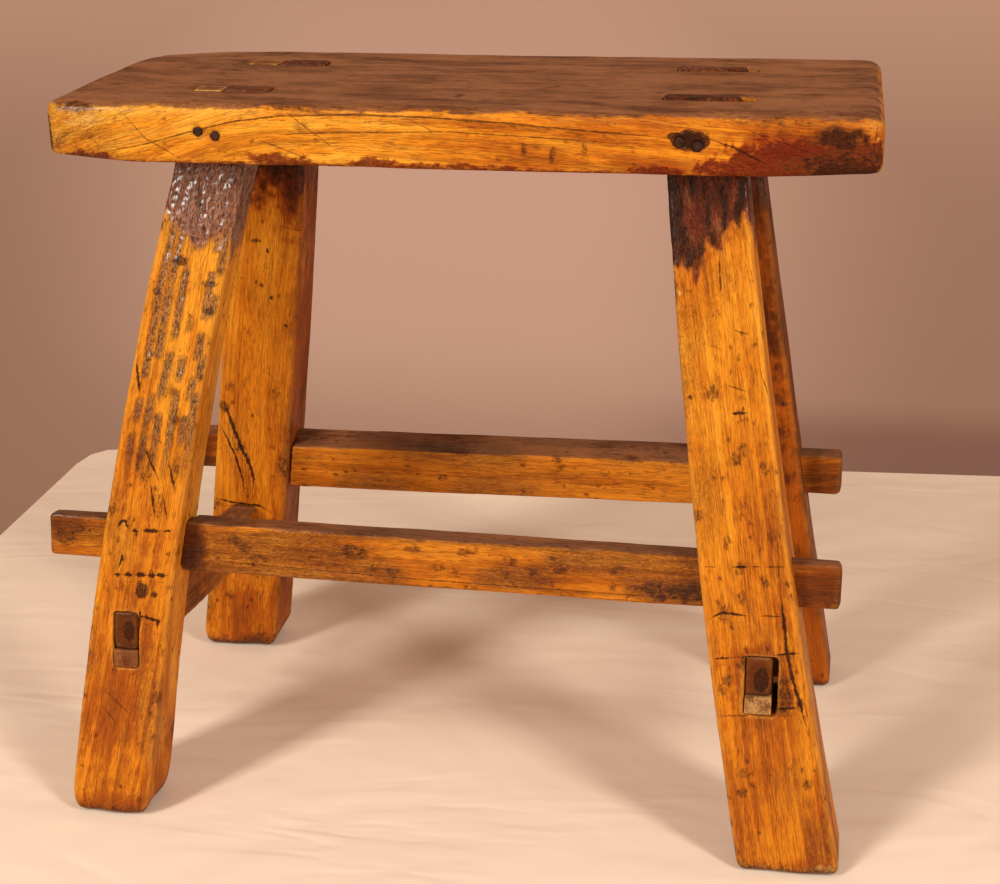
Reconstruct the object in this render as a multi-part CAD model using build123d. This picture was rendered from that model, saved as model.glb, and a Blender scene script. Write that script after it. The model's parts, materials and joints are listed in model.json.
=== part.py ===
from build123d import *
import os
from dataclasses import dataclass
from math import atan2, cos, sin

# A rustic child's stool in millimetres: a plank seat on four legs that splay two ways, held by two long
# rails with ends that stick out and two short rails between front and back. +Z is up, +X is to the right
# and the front faces -Y. The origin lies on the floor in the middle of the frame.

os.makedirs("parts", exist_ok=True)

LEFT, RIGHT = -1, 1
FRONT, REAR = -1, 1

# Seat plank
stool_height = 395.0
seat_length = 422.0
seat_depth = 174.0
seat_thickness = 31.0
seat_offset = 10.25
seat_corner_radius = 9.0
seat_top_edge_radius = 7.0
seat_bottom_edge_radius = 3.0

# Stance of the legs from front to back
foot_stance = 252.0
head_spacing = 95.0
front_foot_thickness = 39.0
front_head_thickness = 25.0
rear_foot_thickness = 38.0
rear_head_thickness = 37.0
leg_edge_radius = 2.5

# Each leg along X: the middle of its foot and of its head, both from the frame's middle, the widths there,
# and how far its middle bows outwards
front_left_foot_reach = 184.75
front_left_head_reach = 120.0
front_left_foot_width = 46.0
front_left_head_width = 40.5
front_left_bow = 7.0
front_right_foot_reach = 192.75
front_right_head_reach = 135.25
front_right_foot_width = 54.5
front_right_head_width = 40.5
front_right_bow = -4.2
rear_left_foot_reach = 175.75
rear_left_head_reach = 117.25
rear_left_foot_width = 50.0
rear_left_head_width = 44.5
rear_left_bow = -1.7
rear_right_foot_reach = 187.75
rear_right_head_reach = 134.75
rear_right_foot_width = 50.0
rear_right_head_width = 44.0
rear_right_bow = -0.6

# Through tenons at the heads of the legs, how much further inwards each leans than its leg, and the wedges
# beside them: each cuts into its tenon's width or stands outside it, and may be sunk below the seat's top
head_tenon_thickness = 12.0
head_tenon_proud = 0.8
front_left_tenon_lean = 0.0
front_right_tenon_lean = 0.5
rear_left_tenon_lean = 7.0
rear_right_tenon_lean = -3.0
front_left_wedge_width = 15.0
rear_left_wedge_width = 17.0
front_right_wedge_width = 5.5
rear_right_wedge_width = 5.5
front_right_wedge_sink = 6.0
wedge_sink = 0.0
wedge_inside = 0.0
wedge_outside = 1.0
seat_wedge_toe_share = 0.5

# Long rails; each stub is how far an end stands out beside its leg
front_rail_height = 28.0
front_rail_thickness = 20.0
front_rail_top = 163.5
front_rail_rise = -3.5
front_rail_setback = 12.0
front_rail_left_stub = 34.4
front_rail_right_stub = 23.3
rear_rail_height = 30.0
rear_rail_thickness = 25.0
rear_rail_top = 158.0
rear_rail_rise = 5.0
rear_rail_setback = 9.0
rear_rail_left_stub = 35.9
rear_rail_right_stub = 21.8
rail_tenon_thickness = 12.0
rail_tenon_drop = 4.0
rail_edge_radius = 1.5
rail_end_radius = 2.0

# Short rails from front to back
left_rail_front_height = 106.5
left_rail_rear_height = 98.5
right_rail_front_height = 105.5
right_rail_rear_height = 98.0
side_rail_height = 26.0
side_rail_thickness = 20.0
side_tenon_height = 21.0
side_tenon_thickness = 14.0
side_wedge_height = 10.0
side_wedge_toe_share = 0.5
left_mortise_play = 0.0
right_mortise_play = 2.5

# Nails through the seat's edges; each shift is how far a pair sits outwards of its tenon's middle
nail_head_radius = 3.2
nail_head_thickness = 1.2
nail_shank_radius = 1.5
nail_length = 44.0
nail_rise = 16.0
nail_spacing = 8.8
nail_stagger = 2.0
nail_head_proud = 0.3
front_left_nail_shift = 3.5
front_right_nail_shift = -5.0
rear_left_nail_shift = 0.8
rear_right_nail_shift = -0.8

# Fits
fit_clearance = 0.15
overrun = 5.0

seat_underside = stool_height - seat_thickness
nail_height = seat_underside + nail_rise
frame_span = 2 * seat_length


@dataclass(frozen=True)
class Leg:
    """One leg of the stool, with the wedge beside its tenon."""

    name: str
    side: int
    end: int
    foot_reach: float
    head_reach: float
    foot_width: float
    head_width: float
    bow: float
    foot_thickness: float
    head_thickness: float
    tenon_lean: float
    nail_shift: float
    wedge_width: float
    wedge_outside_share: float
    wedge_sink: float

    @property
    def foot_y(self):
        return self.end * (foot_stance - self.foot_thickness) / 2

    @property
    def head_y(self):
        return self.end * head_spacing / 2

    @property
    def lean(self):
        return atan2(self.foot_y - self.head_y, seat_underside)

    @property
    def plane(self):
        """The leg's leaning middle plane, with local x along X and local y up the leg."""
        return Plane(origin=(0, self.foot_y, 0), x_dir=(1, 0, 0), z_dir=(0, -cos(self.lean), -sin(self.lean)))

    def middle_y(self, z):
        return self.foot_y + (self.head_y - self.foot_y) * z / seat_underside

    def half_thickness(self, z):
        return (self.foot_thickness + (self.head_thickness - self.foot_thickness) * z / seat_underside) / 2

    def edge_x(self, edge, z):
        """X of the left or right edge of the leg at height z; the bow goes on above the head."""
        share = z / seat_underside
        middle = self.foot_reach + (self.head_reach - self.foot_reach) * share
        middle += self.bow * 4 * share * (1 - share)
        width = self.foot_width + (self.head_width - self.foot_width) * share
        return self.side * middle + edge * width / 2

    def middle_x(self, z):
        return (self.edge_x(LEFT, z) + self.edge_x(RIGHT, z)) / 2

    def tenon_x(self, edge, z):
        """X of the tenon's left or right side, were there no wedge: it may lean further than the leg."""
        share = max(z - seat_underside, 0) / seat_thickness
        return self.edge_x(edge, z) - self.side * self.tenon_lean * share

    def wedge_growth(self, z):
        """Width of the wedge at height z, from its toe at the seat's underside to the seat's top."""
        share = (z - seat_underside) / seat_thickness
        return self.wedge_width * (seat_wedge_toe_share + (1 - seat_wedge_toe_share) * share)

    def tenon_outer_x(self, z):
        inside = self.wedge_growth(z) * (1 - self.wedge_outside_share)
        return self.tenon_x(self.side, z) - self.side * inside

    def wedge_outer_x(self, z):
        outside = self.wedge_growth(z) * self.wedge_outside_share
        return self.tenon_x(self.side, z) + self.side * outside


def through(face):
    """A solid that carries a face of the front elevation right through from front to back."""
    return extrude(face, amount=foot_stance, dir=(0, 1, 0), both=True)


def elevation(points):
    """The solid along Y of a straight-sided outline that is drawn as x and height."""
    return through(make_face(Polyline(*[(x, 0, z) for x, z in points], close=True)))


def leg_curve(leg, edge, gap=0.0):
    """The bowed left or right edge of a leg in the front elevation, from below its sole to above its head."""
    heights = (-overrun, seat_underside / 2, seat_underside + overrun)
    return [(leg.edge_x(edge, z) + edge * gap, 0, z) for z in heights]


def side_profile(points):
    """The solid along X of an outline that is drawn as y and height."""
    outline = Polyline(*[(0, y, z) for y, z in points], close=True)
    return extrude(make_face(outline), amount=frame_span, dir=(1, 0, 0), both=True)


def lean_slab(leg, thickness, low, high):
    """A slab on the leg's leaning middle plane between two heights."""
    half = thickness / cos(leg.lean) / 2
    return side_profile([
        (leg.middle_y(low) - half, low),
        (leg.middle_y(low) + half, low),
        (leg.middle_y(high) + half, high),
        (leg.middle_y(high) - half, high),
    ])


def leg_bar(leg):
    """The tapering bar of the leg from its sole to its shoulder under the seat."""
    left, right = leg_curve(leg, LEFT), leg_curve(leg, RIGHT)
    outline = Wire([
        ThreePointArc(*left),
        Line(left[-1], right[-1]),
        ThreePointArc(*reversed(right)),
        Line(right[0], left[0]),
    ])
    foot, head = leg.half_thickness(0), leg.half_thickness(seat_underside)
    profile = side_profile([
        (leg.foot_y - foot, 0),
        (leg.foot_y + foot, 0),
        (leg.head_y + head, seat_underside),
        (leg.head_y - head, seat_underside),
    ])
    bar = through(make_face(outline)) & profile
    shoulder = bar.edges().group_by(Axis.Z)[-1]
    return fillet([edge for edge in bar.edges() if edge not in shoulder], radius=leg_edge_radius)


def head_tenon(leg):
    """The through tenon, from inside the leg to just above the seat."""
    low, high = seat_underside - overrun, stool_height + head_tenon_proud
    points = [(leg.tenon_x(-leg.side, z), z) for z in (low, seat_underside, high)]
    points += [(leg.tenon_outer_x(z), z) for z in (high, seat_underside)]
    points += [(leg.tenon_outer_x(seat_underside), low)]
    return elevation(points) & lean_slab(leg, head_tenon_thickness, low, high)


def seat_mortise(leg):
    """The slanted slot through the seat for the tenon and its wedge."""
    low, high = seat_underside, stool_height + overrun
    points = [(leg.tenon_x(-leg.side, z) - leg.side * fit_clearance, z) for z in (low, high)]
    points += [(leg.wedge_outer_x(z) + leg.side * fit_clearance, z) for z in (high, low)]
    return elevation(points) & lean_slab(leg, head_tenon_thickness + 2 * fit_clearance, low, high)


def seat_wedge(leg):
    """The wedge driven down beside the tenon."""
    low, high = seat_underside, stool_height - leg.wedge_sink
    points = [(leg.tenon_outer_x(z) + leg.side * fit_clearance, z) for z in (low, high)]
    points += [(leg.wedge_outer_x(z), z) for z in (high, low)]
    return elevation(points) & lean_slab(leg, head_tenon_thickness, low, high)


@dataclass(frozen=True)
class LongRail:
    """A stretcher along X, carried by the two legs of one end of the stool."""

    name: str
    left_leg: Leg
    right_leg: Leg
    top: float
    rise: float
    height: float
    thickness: float
    setback: float
    left_stub: float
    right_stub: float

    @property
    def left_reach(self):
        return self.stub_end(self.left_leg, self.left_stub)

    @property
    def right_reach(self):
        return self.stub_end(self.right_leg, self.right_stub)

    def stub_end(self, leg, stub):
        """Distance from the frame's middle to the end that stands out beside a leg."""
        return leg.side * leg.edge_x(leg.side, self.top - self.height / 2) + stub

    @property
    def plane(self):
        """The plane of the rail's outer face, with local y up the legs, at the middle of its top edge."""
        leg = self.left_leg
        depth = leg.half_thickness(self.top) * cos(leg.lean) - self.setback
        top_point = Vector(0, leg.middle_y(self.top), self.top)
        face_point = top_point - leg.plane.z_dir * (leg.end * depth)
        slope = atan2(self.rise, self.left_reach + self.right_reach)
        along = Vector(cos(slope), 0, sin(slope))
        return Plane(origin=face_point, x_dir=along, z_dir=leg.plane.z_dir)

    def bar(self, height, thickness, outside=0.0, inside=0.0):
        """A bar as long as the rail behind its outer face, made larger by the outside measure at its top, its
        outer face and its ends, and by the inside one below and at its inner face."""
        sign = self.left_leg.end
        length = self.left_reach + self.right_reach + 2 * outside
        box = Box(length, height + outside + inside, thickness + outside + inside, align=Align.CENTER)
        across = (self.right_reach - self.left_reach) / 2
        up = (outside - height - inside) / 2
        inwards = sign * (thickness + inside - outside) / 2
        return self.plane.location * Pos(across, up, inwards) * box

    def tenon(self, outside, inside=0.0):
        return self.bar(self.height - rail_tenon_drop, rail_tenon_thickness, outside, inside)

    def solid(self):
        """The rail: a bar cut back to thinner tenons where it shoulders against the legs' inner sides."""
        rail = self.bar(self.height, self.thickness)
        rail = fillet(rail.edges().group_by(SortBy.LENGTH)[-1], radius=rail_edge_radius)
        for leg in (self.left_leg, self.right_leg):
            rail -= leg_side_block(leg) - self.tenon(overrun)
        ends = rail.faces().sort_by(Axis.X)
        return fillet(ends[0].edges() + ends[-1].edges(), radius=rail_end_radius)


def leg_side_block(leg):
    """Everything outwards of the leg's inner side face, less the clearance at a shoulder."""
    curve = leg_curve(leg, -leg.side, fit_clearance)
    far_low, far_high = [(leg.side * frame_span, 0, point[-1]) for point in (curve[0], curve[-1])]
    outline = Wire([
        ThreePointArc(*curve),
        Line(curve[-1], far_high),
        Line(far_high, far_low),
        Line(far_low, curve[0]),
    ])
    return through(make_face(outline))


@dataclass(frozen=True)
class SideRail:
    """A stretcher from front to back, with wedged through tenons flush with the legs' outer faces."""

    name: str
    front_leg: Leg
    rear_leg: Leg
    front_height: float
    rear_height: float
    play: float

    def point(self, leg, height):
        return Vector(leg.middle_x(height), leg.middle_y(height), height)

    @property
    def plane(self):
        """The cross-section plane at the rail's middle, with local x to the left and local y up."""
        front = self.point(self.front_leg, self.front_height)
        rear = self.point(self.rear_leg, self.rear_height)
        along = (rear - front).normalized()
        return Plane(origin=(front + rear) / 2, x_dir=(-along.Y, along.X, 0), z_dir=along)

    def bar(self, width, low, high, shift=0.0):
        """A long bar along the rail, low and high being measured from its middle line."""
        box = Box(width, high - low, foot_stance + 2 * overrun, align=Align.CENTER)
        return self.plane.location * Pos(shift, (low + high) / 2, 0) * box

    def between(self, inner, gap=0.0):
        """The space between the legs: up to their outer faces, or to their inner ones."""
        points = []
        for leg, heights in ((self.front_leg, (0, seat_underside)), (self.rear_leg, (seat_underside, 0))):
            sign = -1 if inner else 1
            for z in heights:
                points.append((leg.middle_y(z) + leg.end * (sign * leg.half_thickness(z) - gap), z))
        return side_profile(points)

    def solid(self):
        half = side_tenon_height / 2
        tenon = self.bar(side_tenon_thickness, -half, half) & self.between(inner=False)
        body = self.bar(side_rail_thickness, half - side_rail_height, half)
        body = fillet(body.edges().group_by(SortBy.LENGTH)[-1], radius=rail_edge_radius)
        return tenon + (body & self.between(inner=True, gap=fit_clearance))

    def wedge(self, leg):
        """The wedge under the tenon in one leg, thick at the leg's outer face."""
        half = side_tenon_height / 2
        outer, inner = self.wedge_ends(leg)
        toe = side_wedge_height * side_wedge_toe_share
        profile = [
            (outer, -half - fit_clearance),
            (outer, -half - side_wedge_height),
            (inner, -half - toe),
            (inner, -half - fit_clearance),
        ]
        return self.along_profile(profile, side_tenon_thickness) & leg_faces(leg)

    def wedge_ends(self, leg):
        """Where a wedge runs along the rail, from beyond the leg's outer face to its inner face."""
        reach = (self.point(leg, self.front_height) - self.plane.origin).dot(self.plane.z_dir)
        depth = leg.half_thickness(self.front_height)
        return reach + leg.end * (depth + overrun), reach - leg.end * (depth + overrun)

    def along_profile(self, points, width, shift=0.0):
        """A solid of the given width from an outline drawn as distance along the rail and height."""
        place = self.plane
        corners = [place.from_local_coords((shift, up, along)) for along, up in points]
        face = make_face(Polyline(*corners, close=True))
        return extrude(face, amount=width / 2, dir=place.x_dir, both=True)

    def mortise(self, leg):
        """The slot through one leg for the tenon and the wedge under it."""
        half = side_tenon_height / 2 + fit_clearance
        play = self.play if leg.end == FRONT else 0.0
        width = side_tenon_thickness + 2 * fit_clearance + play
        slot = self.bar(width, -half, half, -play / 2)
        outer, inner = self.wedge_ends(leg)
        toe = side_wedge_height * side_wedge_toe_share
        wedge_slot = self.along_profile([
            (outer, 0),
            (outer, -half - side_wedge_height),
            (inner, -half - toe),
            (inner, 0),
        ], width, -play / 2)
        return slot + wedge_slot


def leg_faces(leg):
    """The space between the leg's own front and rear faces."""
    points = []
    for sign, heights in ((-1, (0, seat_underside)), (1, (seat_underside, 0))):
        for z in heights:
            points.append((leg.middle_y(z) + sign * leg.half_thickness(z), z))
    return side_profile(points)


def nail_places(leg):
    """The two nails of one leg on the seat's edge, as X and height."""
    middle = (leg.tenon_x(-leg.side, nail_height) + leg.tenon_outer_x(nail_height)) / 2
    middle += leg.side * leg.nail_shift
    for turn in (-1, 1):
        yield middle + turn * nail_spacing / 2, nail_height - turn * nail_stagger / 2


def nail(leg, x, z, grow=0.0):
    """One nail from the seat's edge into the tenon, its head let in almost flush."""
    face_y = leg.end * (seat_depth / 2 + nail_head_proud)
    inward = Plane(origin=(x, face_y, z), z_dir=(0, -leg.end, 0))
    head = extrude(inward * Circle(nail_head_radius + grow), amount=nail_head_thickness + grow)
    shank = extrude(inward * Circle(nail_shank_radius + grow), amount=nail_length + grow)
    return head + shank


def seat_solid(legs):
    """The plank with its rounded corners and edges, its mortises and its nail holes."""
    low = Align.MIN
    plank = Pos(seat_offset, 0, seat_underside) * Box(
        seat_length, seat_depth, seat_thickness, align=(Align.CENTER, Align.CENTER, low)
    )
    plank = fillet(plank.edges().filter_by(Axis.Z), radius=seat_corner_radius)
    plank = fillet(plank.edges().group_by(Axis.Z)[-1], radius=seat_top_edge_radius)
    plank = fillet(plank.edges().group_by(Axis.Z)[0], radius=seat_bottom_edge_radius)
    for leg in legs:
        plank -= seat_mortise(leg)
        for x, z in nail_places(leg):
            plank -= nail(leg, x, z, fit_clearance)
    return plank


def leg_solid(leg, long_rail, side_rail):
    """The leg with its tenon, its two mortises and the ends of its nail holes."""
    solid = leg_bar(leg) + head_tenon(leg)
    solid -= long_rail.tenon(fit_clearance, fit_clearance)
    solid -= side_rail.mortise(leg)
    for x, z in nail_places(leg):
        solid -= nail(leg, x, z, fit_clearance)
    return solid


front_left = Leg(
    "front_left", LEFT, FRONT, front_left_foot_reach, front_left_head_reach, front_left_foot_width,
    front_left_head_width, front_left_bow, front_foot_thickness, front_head_thickness,
    front_left_tenon_lean, front_left_nail_shift, front_left_wedge_width, wedge_inside, wedge_sink,
)
front_right = Leg(
    "front_right", RIGHT, FRONT, front_right_foot_reach, front_right_head_reach, front_right_foot_width,
    front_right_head_width, front_right_bow, front_foot_thickness, front_head_thickness,
    front_right_tenon_lean, front_right_nail_shift, front_right_wedge_width, wedge_outside,
    front_right_wedge_sink,
)
rear_left = Leg(
    "rear_left", LEFT, REAR, rear_left_foot_reach, rear_left_head_reach, rear_left_foot_width,
    rear_left_head_width, rear_left_bow, rear_foot_thickness, rear_head_thickness,
    rear_left_tenon_lean, rear_left_nail_shift, rear_left_wedge_width, wedge_inside, wedge_sink,
)
rear_right = Leg(
    "rear_right", RIGHT, REAR, rear_right_foot_reach, rear_right_head_reach, rear_right_foot_width,
    rear_right_head_width, rear_right_bow, rear_foot_thickness, rear_head_thickness,
    rear_right_tenon_lean, rear_right_nail_shift, rear_right_wedge_width, wedge_inside, wedge_sink,
)
legs = (front_left, front_right, rear_left, rear_right)

front_rail = LongRail(
    "front_rail", front_left, front_right, front_rail_top, front_rail_rise, front_rail_height,
    front_rail_thickness, front_rail_setback, front_rail_left_stub, front_rail_right_stub,
)
rear_rail = LongRail(
    "rear_rail", rear_left, rear_right, rear_rail_top, rear_rail_rise, rear_rail_height,
    rear_rail_thickness, rear_rail_setback, rear_rail_left_stub, rear_rail_right_stub,
)
left_rail = SideRail(
    "left_rail", front_left, rear_left, left_rail_front_height, left_rail_rear_height, left_mortise_play
)
right_rail = SideRail(
    "right_rail", front_right, rear_right, right_rail_front_height, right_rail_rear_height, right_mortise_play
)

pieces = {"seat": seat_solid(legs)}
for rail in (front_rail, rear_rail, left_rail, right_rail):
    pieces[rail.name] = rail.solid()
for leg in legs:
    long_rail = front_rail if leg.end == FRONT else rear_rail
    side_rail = left_rail if leg.side == LEFT else right_rail
    end_name = "front" if leg.end == FRONT else "rear"
    pieces[f"{leg.name}_leg"] = leg_solid(leg, long_rail, side_rail)
    pieces[f"{leg.name}_seat_wedge"] = seat_wedge(leg)
    pieces[f"{leg.name}_seat_nails"] = Compound([nail(leg, x, z) for x, z in nail_places(leg)])
    pieces[f"{side_rail.name}_{end_name}_wedge"] = side_rail.wedge(leg)

for name, piece in pieces.items():
    export_step(piece, f"parts/{name}.step")
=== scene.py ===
"""A child's stool of old, waxed softwood: plank seat, splayed legs and wedged rails."""

from __future__ import annotations

import json
import logging
import math
from dataclasses import dataclass, field
from enum import Enum, IntEnum

import bmesh
import bpy
import numpy as np
from mathutils import Matrix, Vector

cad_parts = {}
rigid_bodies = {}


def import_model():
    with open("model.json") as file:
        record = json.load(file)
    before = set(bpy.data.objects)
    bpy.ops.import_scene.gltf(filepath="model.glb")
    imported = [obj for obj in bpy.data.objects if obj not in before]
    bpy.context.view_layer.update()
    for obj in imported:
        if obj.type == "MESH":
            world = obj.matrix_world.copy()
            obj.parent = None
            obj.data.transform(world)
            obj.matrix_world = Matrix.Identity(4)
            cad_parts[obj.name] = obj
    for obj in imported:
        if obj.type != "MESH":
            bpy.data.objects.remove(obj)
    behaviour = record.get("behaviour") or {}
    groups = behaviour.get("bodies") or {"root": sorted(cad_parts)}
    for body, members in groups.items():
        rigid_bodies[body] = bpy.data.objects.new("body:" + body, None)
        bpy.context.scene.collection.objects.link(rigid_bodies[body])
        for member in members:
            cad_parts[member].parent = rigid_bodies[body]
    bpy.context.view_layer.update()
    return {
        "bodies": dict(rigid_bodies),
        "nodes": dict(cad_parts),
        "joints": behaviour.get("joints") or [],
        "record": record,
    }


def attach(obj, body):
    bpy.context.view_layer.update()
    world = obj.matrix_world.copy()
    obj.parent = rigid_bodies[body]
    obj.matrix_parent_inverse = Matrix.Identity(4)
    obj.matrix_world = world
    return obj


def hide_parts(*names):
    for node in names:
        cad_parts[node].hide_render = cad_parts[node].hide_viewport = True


log = logging.getLogger("stool")

Array = np.ndarray
Socket = bpy.types.NodeSocket
Tree = bpy.types.NodeTree
Colour = tuple[float, float, float]
Triple = tuple[float, float, float]
Place = tuple[float, float]

MM = 0.001
TINY = 1e-6
SEAT_TOP = 395.0
SEAT_UNDERSIDE = 364.0
LINE_REACH = 4.0
NO_LINE = 9.0
LANES = 3
VECTORS = ("Grain", "Gaps", "Widths")
TOP_SEED = 12
TOP_STREAKS = 34
HASH_STEPS = (73856093, 19349663, 83492791)
HASH_SEED = 2654435761
HASH_ROUNDS = ((15, 2246822519), (13, 3266489917))
HASH_END = 16
WORD = 0xFFFFFFFF


class Slot(Enum):
    """Material slots of the stool's record."""

    SEAT = "seat_wood"
    LEG = "leg_wood"
    RAIL = "rail_wood"
    WEDGE = "wedge_wood"
    IRON = "iron"


class Tint(Enum):
    """What a patch does to the wood, by the channel it is kept in."""

    DARK = 0
    RED = 1
    PALE = 2
    SHADE = 3


DARK, RED, PALE, SHADE = Tint


class Facing(Enum):
    """The side of a piece that a mark is made on: normal, and the two axes it is measured along."""

    FRONT = ((0.0, -1.0, 0.0), (0, 2))
    TOP = ((0.0, 0.0, 1.0), (0, 1))
    RIGHT = ((1.0, 0.0, 0.0), (1, 2))


class Stream(IntEnum):
    """A piece's random fields, by their steps from its seed."""

    WEAR = 0
    CHIPS = 2
    FOOT = 3
    WEATHER = 4
    TOP = 5
    SEAT_TONE = 6
    CLOUDS = 7
    TONE = 8
    STAINS = 9
    AGE = 13
    FURROW_SWAY = 20
    FURROW_GAPS = 40
    RINGS = 50
    FIBRES = 60


def eased(value: Array, low: float, high: float) -> Array:
    """Smooth step from 0 at low to 1 at high; high below low turns it round."""
    share = np.clip((value - low) / (high - low), 0.0, 1.0)
    return share * share * (3.0 - 2.0 * share)


def add_object(name: str, data: bpy.types.ID) -> bpy.types.Object:
    """Makes an object and links it to the scene."""
    made = bpy.data.objects.new(name, data)
    bpy.context.scene.collection.objects.link(made)
    return made


@dataclass(frozen=True)
class Noise:
    """Smooth random field with a fixed seed."""

    seed: int

    def lattice(self, cells: Array) -> Array:
        """Random number of each lattice corner.

        Args:
            cells: whole-number corners, one row each.

        Returns:
            Numbers from -1 to 1.
        """
        mixed = (cells @ np.array(HASH_STEPS, np.int64) + self.seed * HASH_SEED) & WORD
        for shift, factor in HASH_ROUNDS:
            mixed = ((mixed ^ (mixed >> shift)) * factor) & WORD
        mixed = mixed ^ (mixed >> HASH_END)
        return mixed.astype(float) / (WORD / 2) - 1.0

    def at(self, points: Array, size: float | Triple) -> Array:
        """Field at the points.

        Args:
            points: places, one row each.
            size: distance between independent values, one number or one for each axis.

        Returns:
            Numbers from -1 to 1, mostly within half of that.
        """
        scaled = points / np.asarray(size, float)
        base = np.floor(scaled).astype(np.int64)
        part = scaled - base
        part = part * part * (3.0 - 2.0 * part)
        total = np.zeros(len(points))
        for corner in range(8):
            step = np.array([corner & 1, (corner >> 1) & 1, (corner >> 2) & 1])
            weight = np.prod(np.where(step == 1, part, 1.0 - part), axis=1)
            total += weight * self.lattice(base + step)
        return total


@dataclass(frozen=True)
class Line:
    """A crack, scratch or scribed line on one side of a piece.

    The points are millimetres along the side's two axes.
    """

    points: tuple[Place, ...]
    width: float
    fade: float = 0.25


@dataclass(frozen=True)
class Patch:
    """An oval patch, in millimetres along a side's two axes: a stain, bare wood, a darker tone, or painted
    shade.
    """

    centre: Place
    size: Place
    tint: Tint
    strength: float = 1.0
    turn: float = 0.0


def ovals(rows: dict[Tint, tuple[tuple[float, ...], ...]]) -> tuple[Patch, ...]:
    """Patches by tint, from rows of centre, size, strength and turn."""
    return tuple(Patch(row[:2], row[2:4], tint, *row[4:]) for tint, some in rows.items() for row in some)


def strokes(*rows: tuple[float, ...]) -> tuple[Line, ...]:
    """Lines from rows of width, fade and then the points' numbers in turn."""
    return tuple(Line(tuple(zip(row[2::2], row[3::2])), row[0], row[1]) for row in rows)


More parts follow.
